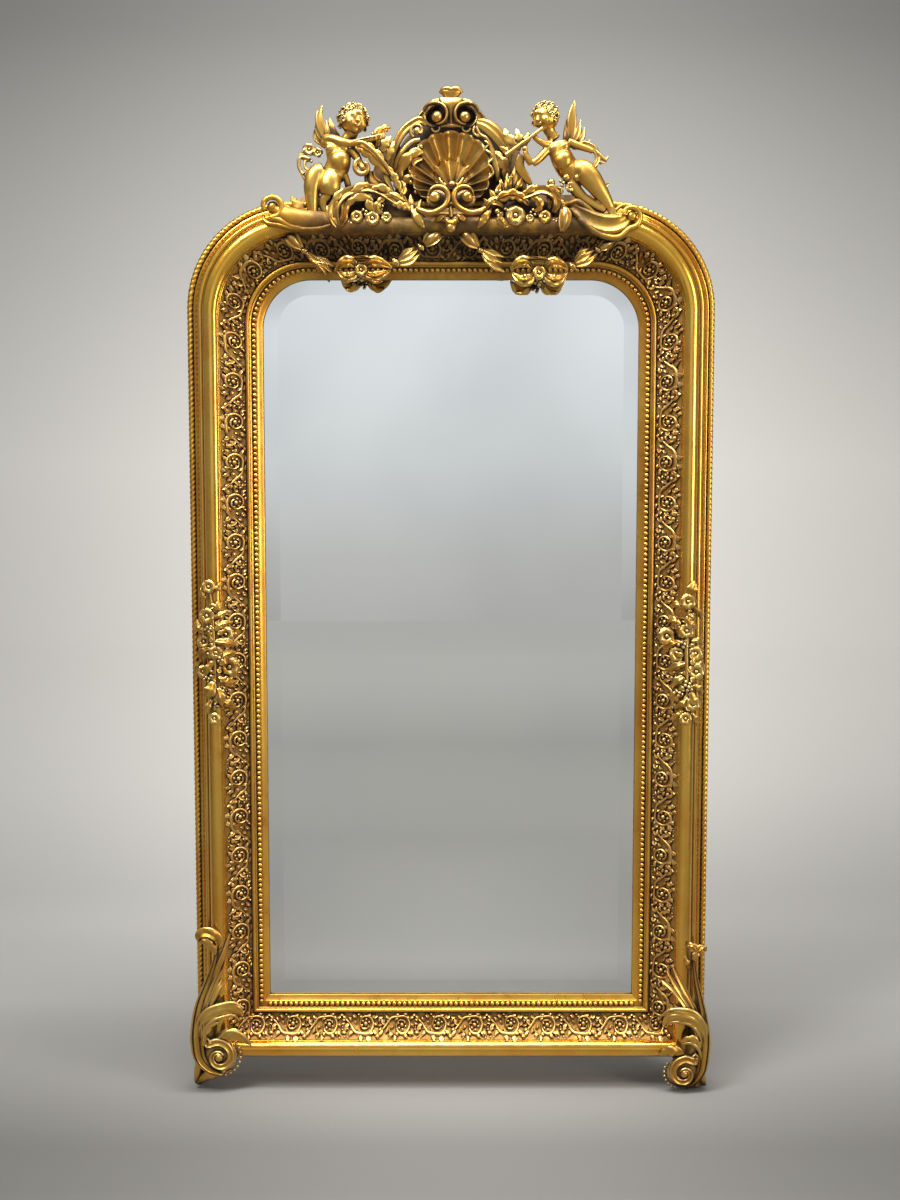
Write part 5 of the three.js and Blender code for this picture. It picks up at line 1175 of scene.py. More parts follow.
        wings: list[Form] = [blade(spots, h, w, 4, around=14) for spots, h, w in (
            ((-236, 1878, -248, 1903, -254, 1929, -248, 1951), (62, 64, 64, 62), 9),
            ((-238, 1876, -256, 1899, -260, 1922), (60, 62, 60), 7),
            ((-242, 1873, -260, 1888, -264, 1907), (58, 60, 58), 6.5),
            ((-231, 1880, -238, 1901, -240, 1922), (64, 66, 62), 6.5),
            ((-223, 1876, -227, 1895, -231, 1911, -234, 1928), (58, 60, 60, 56), 8),
            ((-217, 1876, -219, 1892, -223, 1907), (56, 58, 56), 6))]
        self.gild("left_wings", wings, "wings_left")
        fiddle: list[Form] = [
            leafy((-184, 1867, -169, 1863, -151, 1852, -134, 1833, -116, 1812), (98, 101, 101, 99, 92), 15, 7, 4, 0.3,
                around=28),
            line((-188, 1869, -172, 1873, -155, 1863, -138, 1846, -122, 1827, -110, 1808),
                (99, 103, 104, 103, 100, 92), (3, 4, 4, 4, 3.6, 2), (3, 4, 4, 4, 3, 2), around=12),
            line((-198, 1871, -172, 1878, -145, 1884, -130, 1888), (102, 105, 105, 103), (1.6, 1.8, 1.6, 1.2),
                (1.6, 2, 2, 1.2), around=8),
            coil(-169, 1827, (100, 430), (17, 9), (94, 98), (5, 4.5), (6, 6), around=14), eye(-167, 1829, 92, 6),
            leafy((-145, 1861, -141, 1880, -130, 1899, -114, 1903), (88, 92, 92, 84), 12, 7, around=20),
            leafy((-134, 1854, -126, 1873, -114, 1888), (88, 92, 86), 11, 7),
            leafy((-126, 1838, -116, 1861, -109, 1880), (84, 88, 82), 9, 6),
            leafy((-153, 1873, -145, 1890, -138, 1901), (86, 88, 82), 8, 6, around=16),
            line((-157, 1823, -153, 1804, -138, 1791, -118, 1787), (82, 84, 82, 78), (9, 13, 14, 8), (8, 10, 10, 6),
                Cut.REED, around=24),
            leafy((-122, 1831, -110, 1812, -101, 1793, -91, 1774), (88, 88, 86, 84), 9, 7, 4),
            blade((-130, 1827, -122, 1804, -107, 1781), (86, 88, 84), 6, 5),
        ]
        fiddle += berries(-141, 1850, 100, 3, 4, 6)
        self.gild("fiddle_and_bow", fiddle, "violin_and_bow")
        posy: list[Form] = bloom(-273, 1865, 74, 13, 5, 15) + bloom(-256, 1859, 76, 10, 5) + [
            line((-269, 1846, -289, 1850, -293, 1835, -285, 1819, -275, 1827), (74, 74, 74, 76, 78),
                (3.4, 3.6, 3.6, 3, 2), 4, around=10, steps=7),
            line((-266, 1842, -279, 1844, -281, 1831, -271, 1823), (72, 72, 74, 76), (2.6, 3, 2.6, 2), 3.4, around=10,
                steps=7),
            line((-287, 1819, -281, 1808, -275, 1793), (74, 76, 78), (3.4, 3, 1.6), 3.4, around=10),
            blade((-281, 1861, -289, 1854, -281, 1842), (72, 74, 74), 4, 4)]
        self.gild("left_posy", posy)

        face, curls = self.head(182, 1923, 84, 24.5, -48, 14, (0, 400))
        body = face + [
            line((190, 1895, 200, 1880), (82, 80), (10, 13), (10, 11), around=18),
            line((202, 1878, 207, 1861, 215, 1842, 227, 1825, 242, 1812), (79, 82, 83, 82, 80),
                (20, 20.5, 22, 22, 18), (16, 18, 20, 19, 16), around=28),
            Ball(215, 1840, 93, 19, 1.0, 0.9, 20, 12), Ball(196, 1863, 90, 10), Ball(217, 1867, 90, 10),
            line((192, 1869, 178, 1854, 165, 1840, 155, 1833), (84, 90, 95, 97), (9, 8.4, 7.6, 7), (9, 8.4, 7.6, 7),
                around=18),
            line((155, 1832, 146, 1844, 141, 1857), (97, 98, 98), (7.4, 6.4, 4.8), (7, 6.2, 4.8), around=16),
            Ball(141, 1861, 99, 5.6), Ball(161, 1882, 98, 5.6),
            line((196, 1873, 184, 1871, 171, 1874, 161, 1880), (84, 90, 96, 98), (9, 7.6, 6, 4.6), (9, 7.6, 6, 4.6),
                around=16),
            line((223, 1878, 240, 1873, 260, 1867, 275, 1861), (76, 74, 72, 72), (9, 8, 6.5, 5), (9, 8, 6.5, 5),
                around=16),
            line((227, 1821, 250, 1823, 266, 1808, 281, 1789, 295, 1770, 306, 1751), (80, 88, 92, 92, 90, 90),
                (15, 21, 21, 17.5, 13, 9.5),
                 (14, 18, 18, 16, 13, 9.5), around=26),
            line((304, 1757, 310, 1742, 312, 1732), (90, 93, 96), (9, 8, 5.6), (8, 7, 6), around=16),
            line((227, 1808, 238, 1789, 256, 1770, 277, 1757, 297, 1745), (82, 84, 86, 87, 88), (12, 12, 10, 9, 7),
                (12, 12, 10, 9, 7), around=20),
        ]
        self.figure("right_child", body, curls, "cherub_right")
        wings = [blade(spots, h, w, 4, around=14) for spots, h, w in (
            ((225, 1873, 231, 1903, 234, 1933, 238, 1961), (60, 62, 64, 62), 9.5),
            ((231, 1873, 244, 1899, 250, 1926), (60, 62, 58), 8),
            ((236, 1873, 252, 1890, 258, 1911), (58, 60, 56), 7),
            ((219, 1876, 223, 1899, 223, 1926), (62, 64, 60), 7),
            ((234, 1869, 256, 1876, 269, 1888), (56, 58, 54), 6))]
        self.gild("right_wings", wings, "wings_right")
        pipe: list[Form] = [
            line((176, 1900, 165, 1892, 149, 1880, 134, 1870, 116, 1857, 103, 1848), (102, 103, 103, 102, 101, 99),
                (3.4, 3.2, 3.2, 3.4, 3.6, 5),
                 (3.4, 3.2, 3.2, 3.4, 3.6, 5), around=14),
            leafy((134, 1861, 120, 1873, 107, 1888, 103, 1903), (84, 88, 88, 84), 10, 6),
            leafy((134, 1865, 130, 1884, 124, 1903), (84, 88, 84), 9, 6),
            leafy((138, 1865, 145, 1882, 149, 1897), (84, 88, 84), 8, 6),
            leafy((122, 1857, 105, 1861, 93, 1869), (84, 87, 82), 7, 5, around=16),
            line((136, 1854, 132, 1831, 143, 1812, 155, 1797), (84, 84, 82, 80), (7, 9, 8, 4), 6, Cut.REED,
                around=18),
        ]
        self.gild("flute_and_leaves", pipe, "flute_and_foliage")
        drape: list[Form] = [
            line((238, 1871, 258, 1876, 277, 1865, 283, 1848, 275, 1831, 273, 1814), (68, 68, 70, 72, 74, 78),
                (4, 6.4, 6.4, 6, 5.6, 3), 4.4, Cut.CHANNEL, around=14),
            line((277, 1865, 287, 1854, 297, 1846, 304, 1853), (70, 72, 72, 70), (3.4, 4, 4, 1.6), 3.6, around=12),
            line((283, 1846, 289, 1840, 300, 1842), (72, 72, 70), (3, 3, 1.4), 3, around=10),
            blade((277, 1793, 293, 1793, 306, 1802), (78, 78, 74), 6.4, 6)]
        for spots in ((192, 1799), (221, 1808), (242, 1808)):
            drape.append(Ball(*spots, 92, 7.6))
        drape += bloom(205, 1783, 90, 11, 5) + bloom(229, 1791, 92, 11, 5, 30) + berries(213, 1799, 90, 3.6, 4, 7)
        self.gild("right_drapery", drape)

    # ---- the sides and feet
    def side_flowers(self) -> None:
        """Models the sprays of flowers and leaves on the middle of each side."""
        left: list[Form] = []
        left += bloom(-475, 1023, 98, 15, 6, 10) + bloom(-479, 966, 98, 17, 5, 0) + bloom(-438, 863, 84, 21, 7)
        left += bloom(-489, 855, 90, 14, 5, 30) + bloom(-467, 762, 98, 13, 6, 25) + bloom(-487, 914, 88, 15,
            5) + bloom(-444, 928, 86, 17, 6, 15)
        left += bloom(-463, 893, 98, 15, 5, 40)
        for spots, h, w in (((-469, 972, -459, 984, -454, 996), (94, 100, 98), 9),
            ((-471, 960, -452, 968, -438, 976), (96, 98, 86), 7),
                            ((-485, 932, -499, 944, -503, 958), (90, 84, 74), 9),
                            ((-463, 936, -452, 948, -430, 952), (98, 94, 76), 9),
                            ((-465, 916, -440, 912, -420, 905), (98, 92, 72), 10),
                            ((-471, 901, -489, 893, -503, 881), (98, 88, 76), 10),
                            ((-467, 877, -479, 861, -485, 843), (98, 98, 92), 9),
                            ((-461, 873, -442, 889, -424, 891), (98, 90, 74), 10),
                            ((-459, 845, -440, 833, -422, 833), (98, 88, 72), 9),
                            ((-467, 837, -475, 817, -489, 803), (98, 102, 96), 14),
                            ((-461, 825, -454, 805, -452, 786), (96, 101, 96), 11),
                            ((-471, 801, -479, 786, -481, 770), (96, 99, 96), 7),
                            ((-456, 798, -440, 790, -428, 776), (94, 86, 72), 9),
                            ((-479, 996, -487, 1008, -489, 1025), (94, 98, 94), 6),
                            ((-467, 1012, -458, 1020, -450, 1033), (94, 98, 94), 6),
                            ((-491, 877, -501, 861, -503, 841), (84, 80, 74), 8)):
            left.append(leafy(spots, h, w, 6, 3, 0.35, around=16))
        left += self.foliage(-467, 984, -461, 782, -1)
        left += [line((-473, 1016, -469, 976, -467, 916, -465, 857, -467, 770), (94, 95, 96, 95, 94),
            (2.4, 3.6, 4.4, 3.6, 2.4), 4)]
        left += berries(-458, 883, 98, 3.6, 7, 11) + berries(-479, 841, 94, 3.4, 6, 9) + berries(-452, 817, 94, 3.2,
            5, 8) + berries(-475, 940, 96, 3.4, 5, 8)
        self.gild("left_flowers", left, "side_flowers_left")
        right: list[Form] = []
        right += bloom(465, 994, 98, 17, 6) + bloom(481, 891, 94, 16, 6, 20) + bloom(426, 924, 82, 19, 6) + bloom(483,
            855, 95, 18, 5, 10)
        right += bloom(446, 889, 90, 17, 6, 30) + bloom(477, 792, 98, 16, 6) + bloom(463, 762, 98, 14, 6,
            20) + bloom(463, 936, 98, 16, 5)
        for spots, h, w in (((469, 1004, 473, 1020, 477, 1035), (96, 100, 98), 12),
            ((456, 984, 442, 988, 432, 984), (96, 90, 76), 7),
                            ((475, 982, 487, 972, 495, 956), (96, 90, 78), 7),
                            ((459, 964, 471, 948, 487, 942), (96, 99, 90), 10),
                            ((452, 948, 438, 956, 426, 952), (96, 86, 74), 8),
                            ((452, 916, 434, 907, 420, 897), (96, 84, 72), 9),
                            ((471, 916, 487, 916, 499, 905), (96, 90, 76), 8),
                            ((463, 873, 444, 865, 428, 849), (96, 88, 74), 10),
                            ((459, 845, 448, 837, 438, 817), (96, 96, 80), 11),
                            ((475, 869, 491, 869, 503, 857), (96, 92, 76), 9),
                            ((475, 829, 489, 821, 499, 805), (96, 92, 78), 9),
                            ((459, 813, 444, 803, 432, 798), (96, 88, 74), 9),
                            ((471, 817, 479, 798, 491, 782), (98, 101, 92), 10),
                            ((467, 805, 456, 790, 444, 782), (98, 96, 78), 8),
                            ((459, 778, 448, 766, 440, 750), (96, 90, 76), 7),
                            ((471, 774, 483, 762, 489, 744), (96, 94, 84), 7)):
            right.append(leafy(spots, h, w, 6, 3, 0.35, around=16))
        right += self.foliage(465, 1000, 467, 774, 1)
        right += [line((467, 996, 465, 956, 463, 897, 465, 837, 465, 770), (94, 95, 96, 95, 94),
            (2.4, 3.6, 4.4, 3.6, 2.4), 4)]
        right += berries(465, 825, 99, 4, 7, 11) + berries(448, 813, 94, 3.8, 5, 8) + berries(456, 910, 98, 3.6, 6,
            10) + berries(471, 964, 97, 3.4, 5, 8)
        self.gild("right_flowers", right, "side_flowers_right")

    @staticmethod
    def foliage(x0: float, z0: float, x1: float, z1: float, outward: int) -> list[Form]:
        """Returns the small leaves that fill a drop of flowers, thickest in its middle.

        Args:
            x0: Where the drop starts.
            z0: Where the drop starts.
            x1: Where it ends.
            z1: Where it ends.
            outward: -1 where the frieze lies to the right of the drop, and 1 where it lies to the left.
        """
        forms: list[Form] = []
        for i in range(30):
            t = (i + 0.5) / 30
            x, z = x0 + (x1 - x0) * t, z0 + (z1 - z0) * t
            full = math.sin(math.pi * t) ** 0.6
            a = math.radians(40 * math.sin(2.7 * i) - 20)
            way = 1 if i % 2 else -1
            far = (36 if way == -outward else 22) * full * (0.75 + 0.25 * math.sin(1.9 * i))
            dx, dz = way * math.cos(a) * far, math.sin(a) * far
            drop = 22 if way == -outward else 7
            forms.append(leafy((x + 0.25 * dx, z + 0.25 * dz, x + 0.65 * dx, z + 0.65 * dz + 4, x + dx, z + dz),
                               (99, 99 - 0.3 * drop, 97 - drop), 8, 6, 3, 0.4, around=14))
        return forms

    def corner_scrolls(self) -> None:
        """Models the scrolled feet: a volute, the ridged band round it, blades, curled leaves and the foot."""
        left: list[Form] = []
        ridge = (-467, 307, -473, 268, -488, 224, -502, 183, -509, 141, -510, 104, -504, 70, -484, 48, -459, 37)
        left.append(line(ridge, (88, 94, 98, 101, 102.5, 103, 103, 102, 98), (4, 6, 8.5, 11, 13, 13.5, 12, 9, 5),
            (5, 8, 11, 13, 14, 13, 11, 9, 6), Cut.REED, around=30))
        for spots, h, w in (((-445, 322, -457, 282, -478, 230, -494, 178, -504, 137), (78, 92, 100, 106, 109), 5.5),
                            ((-454, 276, -465, 245, -484, 203, -498, 158, -502, 116), (82, 96, 104, 109, 111), 6),
                            ((-457, 236, -467, 216, -484, 183, -496, 147, -498, 112), (84, 98, 106, 111, 112), 6),
                            ((-465, 199, -482, 174, -492, 145, -494, 108), (92, 104, 111, 113), 5)):
            left.append(line(spots, h, (1.6, w, w * 1.1, w * 0.9, 3), (2.4, 6, 7, 6, 4), Cut.CHANNEL, around=16))
        left += [
            leafy((-469, 290, -471, 313, -486, 325, -500, 322, -506, 309), (90, 98, 102, 102, 95), 17, 9, 0,
                around=24),
            leafy((-471, 282, -478, 303, -492, 313, -504, 307), (96, 103, 105, 99), 9, 7, 3, 0.3),
            leafy((-508, 116, -498, 149, -478, 168, -453, 176, -429, 172, -419, 156), (106, 111, 112, 110, 104, 94),
                15, 8, 4, 0.2, side=-1, around=26),
            *(line(rib, (106, 111.5, 113, 111, 106, 97), (2.2, 3.4, 4, 3.6, 3.2, 1.6), (4, 5, 5, 5, 4, 3),
                around=12) for rib in (
                (-508, 112, -502, 141, -486, 162, -461, 172, -437, 176, -421, 166),
                (-504, 104, -496, 131, -480, 151, -459, 160, -437, 162, -425, 147),
                (-510, 120, -506, 153, -490, 174, -463, 185, -435, 187, -415, 172))),
            leafy((-498, 95, -494, 124, -482, 143, -465, 147), (106, 111, 111, 106), 9, 7),
            leafy((-465, 116, -445, 124, -425, 118, -404, 97), (104, 110, 106, 96), 14, 8, 3, 0.25, around=22),
            line((-469, 112, -449, 130, -427, 127, -408, 108, -402, 93), (106, 111, 109, 102, 96), (3, 4, 4, 3.4, 2),
                (4, 5, 5, 4, 3), around=12),
            coil(-466, 75, (130, -330), (35, 9), (103, 110), (10, 4), (9, 7), Cut.CHANNEL, around=20,
                lead=(-498, 95, -488, 108)),
            eye(-466, 75, 108, 8.5), Ball(-466, 75, 96, 36, 0.95, 0.28, 26, 8),
            leafy((-453, 46, -478, 39, -498, 27, -517, 9), (98, 96, 90, 82), 11, 9, 0),
            line((-441, 46, -465, 35, -492, 25, -514, 6), (94, 92, 86, 78), (3, 5, 5, 2), (4, 6, 6, 3), around=12),
            line((-504, 70, -510, 50, -514, 29, -517, 10), (92, 88, 84, 80), (6, 8, 7, 3), (7, 9, 8, 4), around=16),
        ]
        for i in range(9):
            a = math.radians(38 - 14 * i)
            bx, bz = -466, 75
            left.append(Ball(bx + 42 * math.cos(a), bz + 40 * math.sin(a), 98, 3.3, around=10, levels=6))
        body: list[Form] = [
            line((-486, 178, -494, 116, -482, 75, -461, 58), (60, 56, 54, 54), (18, 26, 30, 22), (40, 46, 46, 40),
                around=28),
            line((-502, 62, -508, 37, -512, 12), (50, 46, 46), (16, 14, 9), (42, 42, 40), around=24)]
        left += body
        self.gild("left_corner_scroll", left, "corner_scroll_left")
        right: list[Form] = []
        ridge = (486, 278, 490, 236, 498, 195, 506, 153, 510, 112, 508, 75, 504, 46, 490, 21, 473, 6)
        right.append(line(ridge, (88, 94, 98, 101, 103, 103, 102, 98, 92), (4, 6, 8, 10, 11.5, 11.5, 10, 7, 4),
            (5, 8, 11, 13, 13, 12, 10, 8, 5), Cut.REED, around=30))
        for spots, h, w in (((447, 253, 459, 230, 475, 199, 490, 170, 500, 137), (80, 92, 101, 106, 109), 5.5),
                            ((435, 245, 451, 220, 471, 191, 486, 162, 498, 129), (76, 92, 103, 108, 110), 5.5),
                            ((425, 224, 445, 212, 467, 187, 484, 153, 494, 120), (74, 90, 104, 110, 112), 6),
                            ((449, 178, 467, 170, 484, 149, 494, 116), (86, 102, 110, 112), 5)):
            right.append(line(spots, h, (1.6, w, w * 1.1, w * 0.9, 3), (2.4, 6, 7, 6, 4), Cut.CHANNEL, around=16))
        right += [
            leafy((486, 274, 490, 290, 482, 303, 471, 301), (92, 99, 101, 96), 10, 7, around=20),
            leafy((488, 274, 494, 290, 504, 299, 512, 290), (92, 99, 101, 96), 10, 7, around=20),
            leafy((486, 270, 490, 286, 492, 301), (96, 103, 98), 8, 6, around=16),
            leafy((482, 249, 473, 268, 467, 282), (90, 95, 90), 6, 5, around=16),
            leafy((510, 104, 502, 137, 482, 156, 457, 160, 437, 151, 427, 133), (106, 111, 112, 110, 104, 94), 17, 9,
                4, 0.2, side=1, around=26),
            *(line(rib, (106, 111.5, 113, 111, 106, 97), (2.2, 3.4, 4, 3.6, 3.2, 1.6), (4, 5, 5, 5, 4, 3),
                around=12) for rib in (
                (510, 100, 504, 133, 486, 156, 461, 164, 439, 160, 427, 145),
                (506, 91, 498, 122, 482, 143, 459, 149, 441, 147, 431, 133),
                (512, 108, 508, 145, 488, 170, 461, 176, 437, 172, 421, 156))),
            leafy((502, 83, 494, 108, 478, 116, 461, 104), (106, 112, 112, 104), 9, 7),
            line((506, 62, 498, 91, 482, 106, 463, 102), (106, 110, 111, 104), (3, 4, 4, 2), (4, 5, 5, 3), around=12),
            leafy((469, 83, 449, 89, 433, 85, 419, 75), (104, 108, 104, 96), 12, 8, 3, 0.25, around=22),
            coil(469, 41, (50, 510), (33, 8), (102, 110), (10, 4), (9, 7), Cut.CHANNEL, around=20,
                lead=(502, 58, 490, 75)),
            eye(469, 41, 108, 8), Ball(469, 41, 96, 35, 0.95, 0.28, 26, 8),
            leafy((478, 12, 494, 14, 506, 14, 518, 6), (94, 92, 86, 80), 9, 8, 0),
            line((506, 54, 506, 33, 510, 17, 516, 6), (92, 90, 86, 80), (7, 8, 7, 3), (8, 9, 8, 4), around=16),
        ]
        for i in range(8):
            a = math.radians(150 + 14 * i)
            bx, bz = 469, 41
            right.append(Ball(bx + 39 * math.cos(a), bz + 37 * math.sin(a), 98, 3.1, around=10, levels=6))
        right += [
            line((490, 178, 498, 116, 486, 70, 465, 41), (60, 56, 54, 54), (18, 24, 28, 20), (40, 46, 46, 40),
                around=28),
            line((502, 62, 506, 37, 510, 12), (50, 46, 46), (16, 14, 9), (42, 42, 40), around=24)]
        self.gild("right_corner_scroll", right, "corner_scroll_right")

    def hangers(self) -> None:
        """Models the brass straps, their screws and the iron rings behind the stiles."""
        hinge_z, hinge_h, half = LINES.frame_top - 330, -5.6, 19.7
        bow = np.radians(np.linspace(180, 360, 33))
        for side, label in ((-1, "left"), (1, "right")):
            x = side * (LINES.sight_half + LINES.middle + 27.65)
            corner = np.radians(np.linspace(0, 90, 7))
            path = [(x + half * math.cos(b), hinge_z - 13.6 + 15.7 * math.sin(b)) for b in bow]
            path += [(x + half - 3 + 3 * math.cos(b), hinge_z - 3 + 3 * math.sin(b)) for b in corner]
            path += [(x - half + 3 - 3 * math.sin(b), hinge_z - 3 + 3 * math.cos(b)) for b in corner]
            self.ring(f"iron_ring_{label}", np.array([*path, path[0]]), hinge_h, label)
            self.strap(f"brass_strap_{label}", x, hinge_z, hinge_h, label)

    def ring(self, name: str, path: Array, h: float, label: str) -> None:
        """Bends round wire along a closed path and hangs it on its own body."""
        run = np.gradient(path, axis=0)
        run[0] = run[-1] = path[1] - path[-2]
        run /= np.linalg.norm(run, axis=1, keepdims=True)
        a = np.linspace(0, 2 * np.pi, 14, endpoint=False)[None, :]
        x = path[:, 0:1] - run[:, 1:2] * 2.15 * np.cos(a)
        z = path[:, 1:2] + run[:, 0:1] * 2.15 * np.cos(a)
        wire = Bench.weld(name, [Bench.sheet(metres(x, z, h + 2.15 * np.sin(a) + 0 * x))])
        Bench.finish(wire, self.iron, "ring_iron", f"hanger_ring_{label}", body=f"hanger_ring_{label}")

    def strap(self, name: str, x: float, z: float, h: float, label: str) -> None:
        """Makes a brass strap: its plate, the rolled eye round the ring and two slotted screws."""
        corners = [(x + sx * 8 + 3 * math.cos(a), z - 35.5 + sz * 35.2 + 3 * math.sin(a))
                   for sx, sz, start in ((1, 1, 0), (-1, 1, 90), (-1, -1, 180), (1, -1, 270))
                   for a in np.radians(np.linspace(start, start + 90, 5))]
        flat = np.array(corners)
        centre = flat.mean(axis=0)
        levels = ((1.0, -0.35), (1.0, -2.45), (0.985, -2.75))
        plate = np.stack([metres(*(centre + (flat - centre) * size).T, np.full(len(flat), level)) for size,
            level in levels])
        parts = [Bench.weld("plate", [Bench.sheet(plate)], sharp=40, cap=True)]
        a = np.linspace(0, 2 * np.pi, 33)[:, None]
        wall = np.array([(-10.8, 3.0), (10.8, 3.0), (11, 3.3), (11, 4.8), (10.6, 5.0), (-10.6, 5.0), (-11, 4.8),
            (-11, 3.3)])
        rolled = metres(x + wall[None, :, 0] + 0 * a, z + wall[None, :, 1] * np.cos(a),
            h + wall[None, :, 1] * np.sin(a))
        parts.append(Bench.weld("eye", [Bench.sheet(rolled)], sharp=40))
        for below in (42, 66):
            head = Bench.carve("screw", [Ball(x, z - below, -2.8, 4.0, 1, 0.42, 20, 10)])
            bpy.ops.object.select_all(action="DESELECT")
            bpy.ops.mesh.primitive_cube_add(size=1, location=tuple(metres(np.array(x), np.array(z - below),
                np.array(-5.2))))
            slot = bpy.context.active_object
            slot.scale = (0.0009, 0.0024, 0.009)
            slot.rotation_euler = (0, 0.4 + 0.02 * below, 0)
            bpy.ops.object.transform_apply(location=True, rotation=True, scale=True)
            Bench.modify(head, "BOOLEAN", object=slot, operation="DIFFERENCE", solver="EXACT")
            bpy.data.objects.remove(slot)
            parts.append(head)
        Bench.hold(*parts)
        bpy.ops.object.join()
        strap = bpy.context.active_object
        strap.name = name
        Bench.finish(strap, self.brass, "strap_brass", f"hanger_strap_{label}")


# ---------------------------------------------------------------- finishes
class Nodes:
    """Short ways to add and link shader nodes in one tree."""

    def __init__(self, tree: bpy.types.NodeTree) -> None:
        """Keeps the tree and where the next node is laid."""
        self.tree = tree
        self.count = 0

    def add(self, kind: str, inputs: dict[str | int, object] | None = None, **settings: object) -> bpy.types.Node:
        """Adds a node.

        Args:
            kind: The node's type, without its ShaderNode prefix.
            inputs: Sockets by name or number, each with a value or with the socket that feeds it.
            settings: The node's own properties.

        Returns:
            The new node.
        """
        node = self.tree.nodes.new("ShaderNode" + kind)
        node.location = (220 * (self.count % 8), -260 * (self.count // 8))
        self.count += 1
        for key, value in settings.items():
            setattr(node, key, value)
        for key, value in (inputs or {}).items():
            if isinstance(value, bpy.types.NodeSocket):
                self.tree.links.new(value, node.inputs[key])
            else:
                node.inputs[key].default_value = value
        return node

    def math(self, what: str, a: object, b: object = 0.0, c: object = 0.0,
        clamp: bool = False) -> bpy.types.NodeSocket:
        """Returns a sum, product or other result of up to three values."""
        node = self.add("Math", {0: a, 1: b, 2: c}, operation=what, use_clamp=clamp)
        return node.outputs[0]

    def span(self, value: object, low: float, high: float, to_low: float = 0,
        to_high: float = 1) -> bpy.types.NodeSocket:
        """Returns a value eased from one range to another."""
        node = self.add("MapRange", {0: value, 1: low, 2: high, 3: to_low, 4: to_high},
            interpolation_type="SMOOTHSTEP")
        return node.outputs[0]

    def blend(self, share: object, a: object, b: object, how: str = "MIX") -> bpy.types.NodeSocket:
        """Returns two colours mixed by a share."""
        node = self.add("Mix", data_type="RGBA", blend_type=how)
        for key, value in ((0, share), (6, a), (7, b)):
            if isinstance(value, bpy.types.NodeSocket):
                self.tree.links.new(value, node.inputs[key])
            else:
                node.inputs[key].default_value = value
        return node.outputs[2]

    def noise(self, scale: float, detail: float = 4, rough: float = 0.55, warp: float = 0.0,
              where: object = None) -> bpy.types.NodeSocket:
        """Returns a noise value over the piece's own coordinates."""
        place = where if where is not None else self.add("TexCoord").outputs["Object"]
        return self.add("TexNoise", {"Vector": place, "Scale": scale, "Detail": detail, "Roughness": rough,
                                     "Distortion": warp}).outputs[0]


def rgba(colour: Colour) -> tuple[float, float, float, float]:
    """Returns a colour with full opacity."""
    return (*colour, 1.0)


@dataclass(frozen=True)
class Leaf:
    """One gilded finish: its colours, how strongly its convex edges are lightened as a painted highlight, and how much
    soiling and painted shade darken its hollows.
    """

    name: str
    gold: Colour = (0.90, 0.55, 0.10)
    warm: Colour = (0.74, 0.34, 0.045)
    bole: Colour = (0.26, 0.075, 0.02)
    # colour of the painted highlight on convex edges
    pale: Colour = (0.92, 0.75, 0.38)
    # colour of soiling and painted shade in hollows
    grime_and_shade: Colour = (0.030, 0.014, 0.005)
    rough: float = 0.32
    # how strongly hollows are darkened, as soiling and painted shade
    hollow: float = 1.0
    wear: float = 0.5
    # how strongly convex edges are lightened as a painted highlight
    painted_edge_highlight: float = 0.12
    coat: float = 0.2
    relief: float = 0.35
    reach: float = 0.02
    # an even darkening over the whole finish, as soiling and painted shade
    even_grime_and_shade: float = 0.0
    # painted shadow of the crest, darkening the middle of the frame's head
    painted_crest_shadow: float = 0.0


@dataclass(frozen=True)
class Timber:
    """One sawn or planed wood: its pale and dark grain and how dusty it is."""

    name: str
    pale: Colour
    dark: Colour
    rough: float = 0.75
    along: str = "Z"


